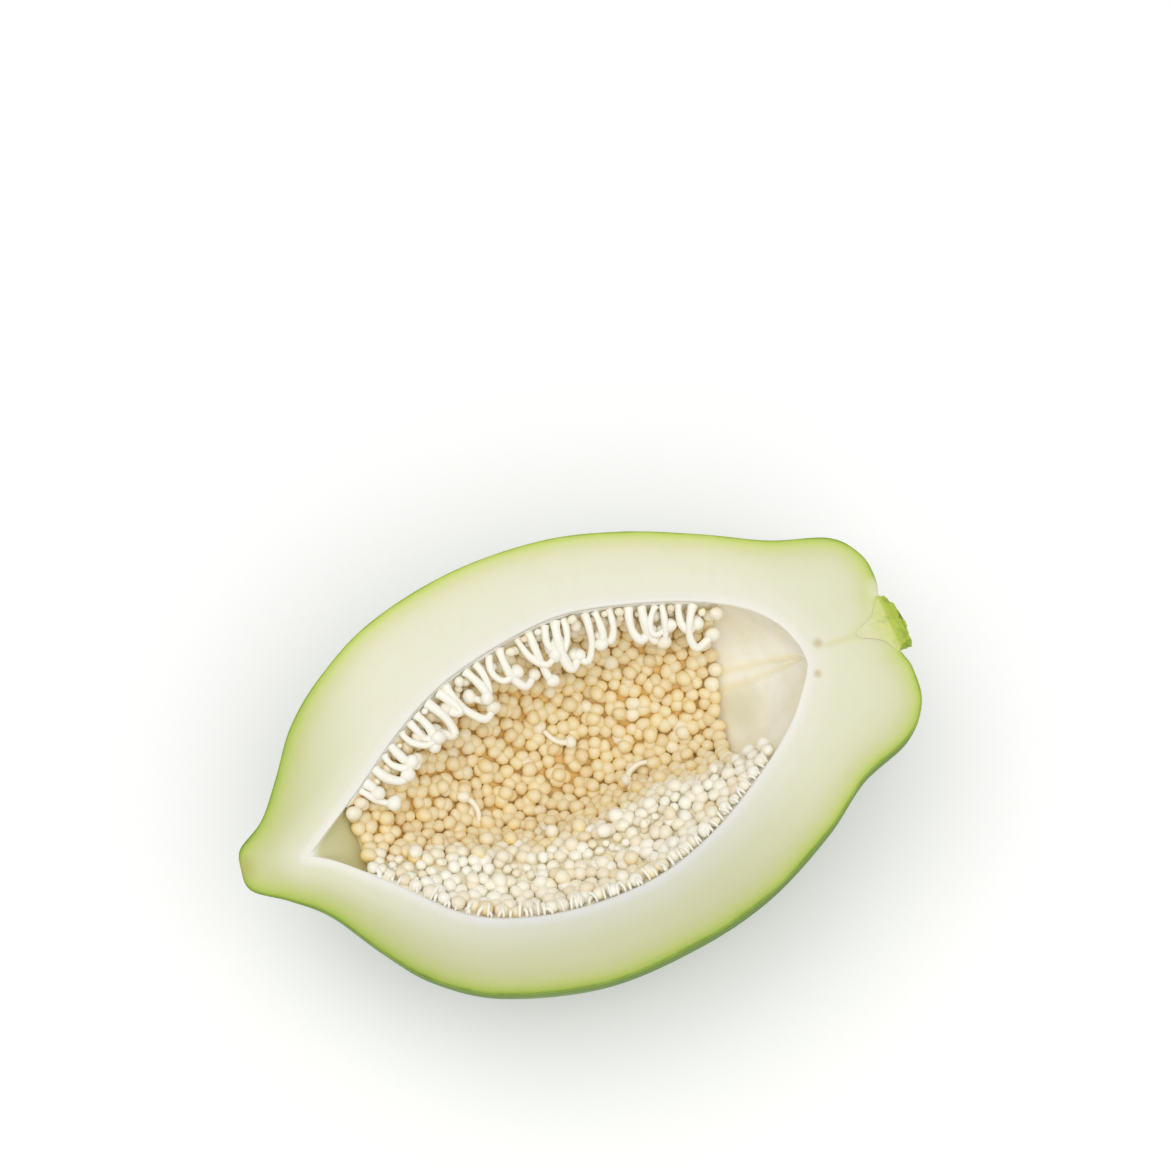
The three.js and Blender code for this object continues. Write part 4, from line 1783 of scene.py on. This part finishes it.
    def fallen(self, t: float, turn: float, way: float, rng: np.random.Generator) -> list[Sculpt]:
        """A loose stalk with its seed, lying on the other seeds.

        Args:
            t: share of the hollow's outline where it lies.
            turn: angle round the hollow.
            way: direction in which it lies on the bed.
            rng: seeded random numbers.

        Returns:
            The stalk and its seed.
        """
        place, angle = np.array([t]), np.array([turn])
        along, around = (unit(v)[0] for v in self.slopes(place, angle))
        up = unit(np.cross(around, along))
        line = along * math.cos(way) + around * math.sin(way)
        side = np.cross(up, line)
        middle = self.top(place, angle, 4.1)[0]
        corners = [
            middle - line * 4.5 + side * 1.6 - up * 0.8,
            middle - line * 1.5 + side * 0.2 + up * 0.3,
            middle + line * 1.8 + up * 0.3,
            middle + line * 4.6 + side * 1.2,
        ]
        path = self.smooth_path(corners, 14)
        stalk = self.tube(path, np.linspace(0.75, 1.05, 14), 0.75, 0.4)
        seed = Seeds(path[-1:], up[None], np.array([90.0]), np.array([2.2]))
        return [stalk, self.eggs(seed, np.array([0.7]), rng)]

    def front(self, seeds: Seeds) -> Sculpt:
        """Draws the white seeds on the front band of the wall.

        Args:
            seeds: where they are.

        Returns:
            The seeds, their bed and their short stalks, in one shape.
        """
        rng = np.random.default_rng(23)
        patches = smoothstep(ripple(seeds.centres, 15, 61), 0.12, 0.5)
        tones = rng.normal(0.88, 0.15, size=len(seeds.radii))
        tones = np.clip(tones - 0.6 * patches, 0.15, 1)
        shapes = [
            self.bed((self.split + 0.3, 177.6), 0.75, thin=(False, True)),
            self.eggs(seeds, tones, rng),
        ]
        for k in range(0, len(seeds.radii), 6):
            end, up = seeds.centres[k], seeds.ups[k]
            side = unit(np.cross(up, rng.normal(size=3)))
            corners = [end - up * 2.6 + side * 3.4, end - up * 0.6 + side * 2.6, end]
            path = self.smooth_path(corners, 8)
            path[:, 2] = np.minimum(path[:, 2], -1.0)
            shapes.append(self.tube(path, np.linspace(0.9, 0.7, 8), 1.0, 0.4))
        return Sculpt.gathered([*shapes, *self.rim_stalks()])

    def rim_stalks(self) -> list[Sculpt]:
        """Draws the short white stalks that reach from the front rim in between the seeds.

        Returns:
            Each stalk as a shape of its own.
        """
        rng = np.random.default_rng(29)
        turn = math.radians(self.rim_at)
        stalks = []
        for n in range(self.along_rim):
            t = 0.15 + 0.54 * (n + 0.5 + rng.uniform(-0.45, 0.45)) / self.along_rim
            root = WALL.at(t, turn)
            inward = unit(WALL.inward(t, turn) * np.array([1.0, 1.0, 0.0]))
            reach, lean = rng.uniform(2.0, 4.4), rng.uniform(-1.6, 1.6)
            corners = [
                [root[0] + inward[0] * reach * a + lean * b, root[1] + inward[1] * reach * a, z]
                for a, b, z in self.rim_steps
            ]
            path = self.smooth_path(corners, 10)
            radii = np.linspace(0.36, 0.62, 10) * rng.uniform(0.8, 1.2)
            stalks.append(self.tube(path, radii, 0.9, 0.45, 10))
        return stalks

    def back(self) -> Sculpt:
        """Draws the white seeds that hang on bent stalks from a band along the back rim.

        Returns:
            Seeds, stalks and band in one shape.
        """
        rng = np.random.default_rng(31)
        shapes = [self.bed((1.5, 6.6), 1.0, 1.2)]
        ends, ups = [], []
        for path, radius in self.hooks():
            swell = 1 + 0.25 * smoothstep(np.linspace(0, 1, len(path)), 0.16, 0.0)
            wave = 1 + 0.1 * np.sin(np.linspace(0, 9, len(path)) + path[0, 0])
            shapes.append(self.tube(path, radius * swell * wave, 1.0, 0.4))
            ends.append(path[-1])
            ups.append(unit(np.array([rng.normal() * 0.4, -0.5, 0.8])))
        radii = self.hanging_mm * rng.uniform(0.88, 1.0, size=len(ends))
        seeds = Seeds(np.array(ends), np.array(ups), radii * 0, radii)
        shapes.append(self.eggs(seeds, np.full(len(ends), 1.0), rng))
        return Sculpt.gathered(shapes)


@dataclass
class Studio:
    """Pale floor, soft lights and the camera.

    Attributes:
        azimuth: direction of the camera round the fruit, in degrees.
        pitch: angle of the camera's axis above the table, in degrees.
        distance_mm: from the camera to its target on the plane of the cut.
        target: the target, in the fruit's own millimetres.
        lens: focal length on a picture 36 mm wide.
        air: strength of the light from all round.
        aim: what the lights face, in metres.
        lights: name, place in metres, side in metres, power in watts and tint of each.
    """

    azimuth: float = -20.99
    pitch: float = 71.3
    distance_mm: float = 860.45
    target: Triple = (128.99, 46.19, 0.0)
    lens: float = 85.0
    air: float = 0.545
    aim: Triple = (0.0, 0.0, 0.04)
    lights: tuple[tuple[str, Triple, float, float, Triple], ...] = (
        ("key_light", (-0.4, 0.3, 1.6), 1.4, 8.2, (1.0, 0.995, 0.98)),
        ("fill_light", (0.25, -0.75, 1.5), 1.5, 9.0, (1.0, 0.995, 0.985)),
    )

    def camera(self) -> None:
        """Places the camera as in the photo."""
        a, e = math.radians(self.azimuth), math.radians(self.pitch)
        right = Vector((math.cos(a), math.sin(a), 0))
        back = Vector((math.sin(a) * math.cos(e), -math.cos(a) * math.cos(e), math.sin(e)))
        up = back.cross(right)
        target = Vector(((np.array(self.target) + SHIFT_MM) / 1000).tolist())
        data = bpy.data.cameras.new("photo_camera")
        data.lens, data.sensor_width, data.sensor_fit = self.lens, 36.0, "HORIZONTAL"
        camera = placed("photo_camera", data)
        turn = Matrix((right, up, back)).transposed().to_4x4()
        camera.matrix_world = Matrix.Translation(target + back * self.distance_mm / 1000) @ turn
        bpy.context.scene.camera = camera

    def light(self, name: str, place: Triple, size: float, power: float, tint: Triple) -> None:
        """Adds one soft box that faces the fruit.

        Args:
            name: name of the light.
            place: where it stands, in metres.
            size: side of its square, in metres.
            power: its power, in watts.
            tint: its colour.
        """
        data = bpy.data.lights.new(name, "AREA")
        data.shape, data.size, data.energy, data.color = "SQUARE", size, power, tint
        light = placed(name, data)
        light.location = place
        way = Vector(self.aim) - Vector(place)
        light.rotation_euler = way.to_track_quat("-Z", "Y").to_euler()

    @staticmethod
    def floor() -> None:
        """Makes the flat table top."""
        mesh = bpy.data.meshes.new("floor")
        mesh.from_pydata([(-4, -4, 0), (4, -4, 0), (4, 4, 0), (-4, 4, 0)], [], [(0, 1, 2, 3)])
        mesh.materials.append(FloorFinish().material())
        placed("floor", mesh)

    def build(self) -> None:
        """Builds the floor, the lights and the camera."""
        self.floor()
        self.camera()
        for light in self.lights:
            self.light(*light)
        world = bpy.data.worlds.new("studio_air")
        world.use_nodes = True
        air = world.node_tree.nodes["Background"]
        air.inputs["Color"].default_value = (1.0, 1.0, 1.0, 1.0)
        air.inputs["Strength"].default_value = self.air
        scene = bpy.context.scene
        scene.world = world
        scene.view_settings.view_transform = "Standard"
        scene.view_settings.look = "None"


def dressed(piece: bpy.types.Object, slot: Slot, *nodes: str) -> None:
    """Fixes a piece to the fruit.

    Args:
        piece: the new piece.
        slot: the record's slot for its finish; not used.
        *nodes: the solids that it stands for.
    """
    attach(piece, "root")
    if nodes:
        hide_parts(*nodes)
    log.info("%s stands for %s", piece.name, ", ".join(nodes) or "nothing in the solids")


def main() -> None:
    """Builds every piece in order and reports it."""
    logging.basicConfig(level=logging.INFO, format="%(name)s: %(message)s")
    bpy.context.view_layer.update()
    finishes = [finish().material() for finish in (SkinFinish, FleshFinish, WallFinish)]
    flesh = FruitBody().sculpt().make("fruit_flesh", finishes, 48)
    dressed(flesh, Slot.FLESH, "fruit_half")
    bed = SeedBed()
    tan = SeedFinish("papaya_seed_tan").material()
    white = SeedFinish("papaya_seed_white").material()
    inner, outer = bed.parted()
    dressed(bed.deep(inner).make("tan_seeds", [tan], 60), Slot.SEED_TAN, "seeds_deep")
    rim_seeds = bed.front(outer).make("white_seeds_front", [white], 60)
    dressed(rim_seeds, Slot.SEED_WHITE, "seeds_front_rim")
    dressed(bed.back().make("white_seeds_back", [white], 60), Slot.SEED_WHITE, "seeds_back_rim")
    stub = StalkStub().sculpt().make("stub_of_stalk", [StubFinish().material()], 50)
    dressed(stub, Slot.STALK, "stalk_stub")
    Studio().build()


if __name__ == "__main__":
    main()
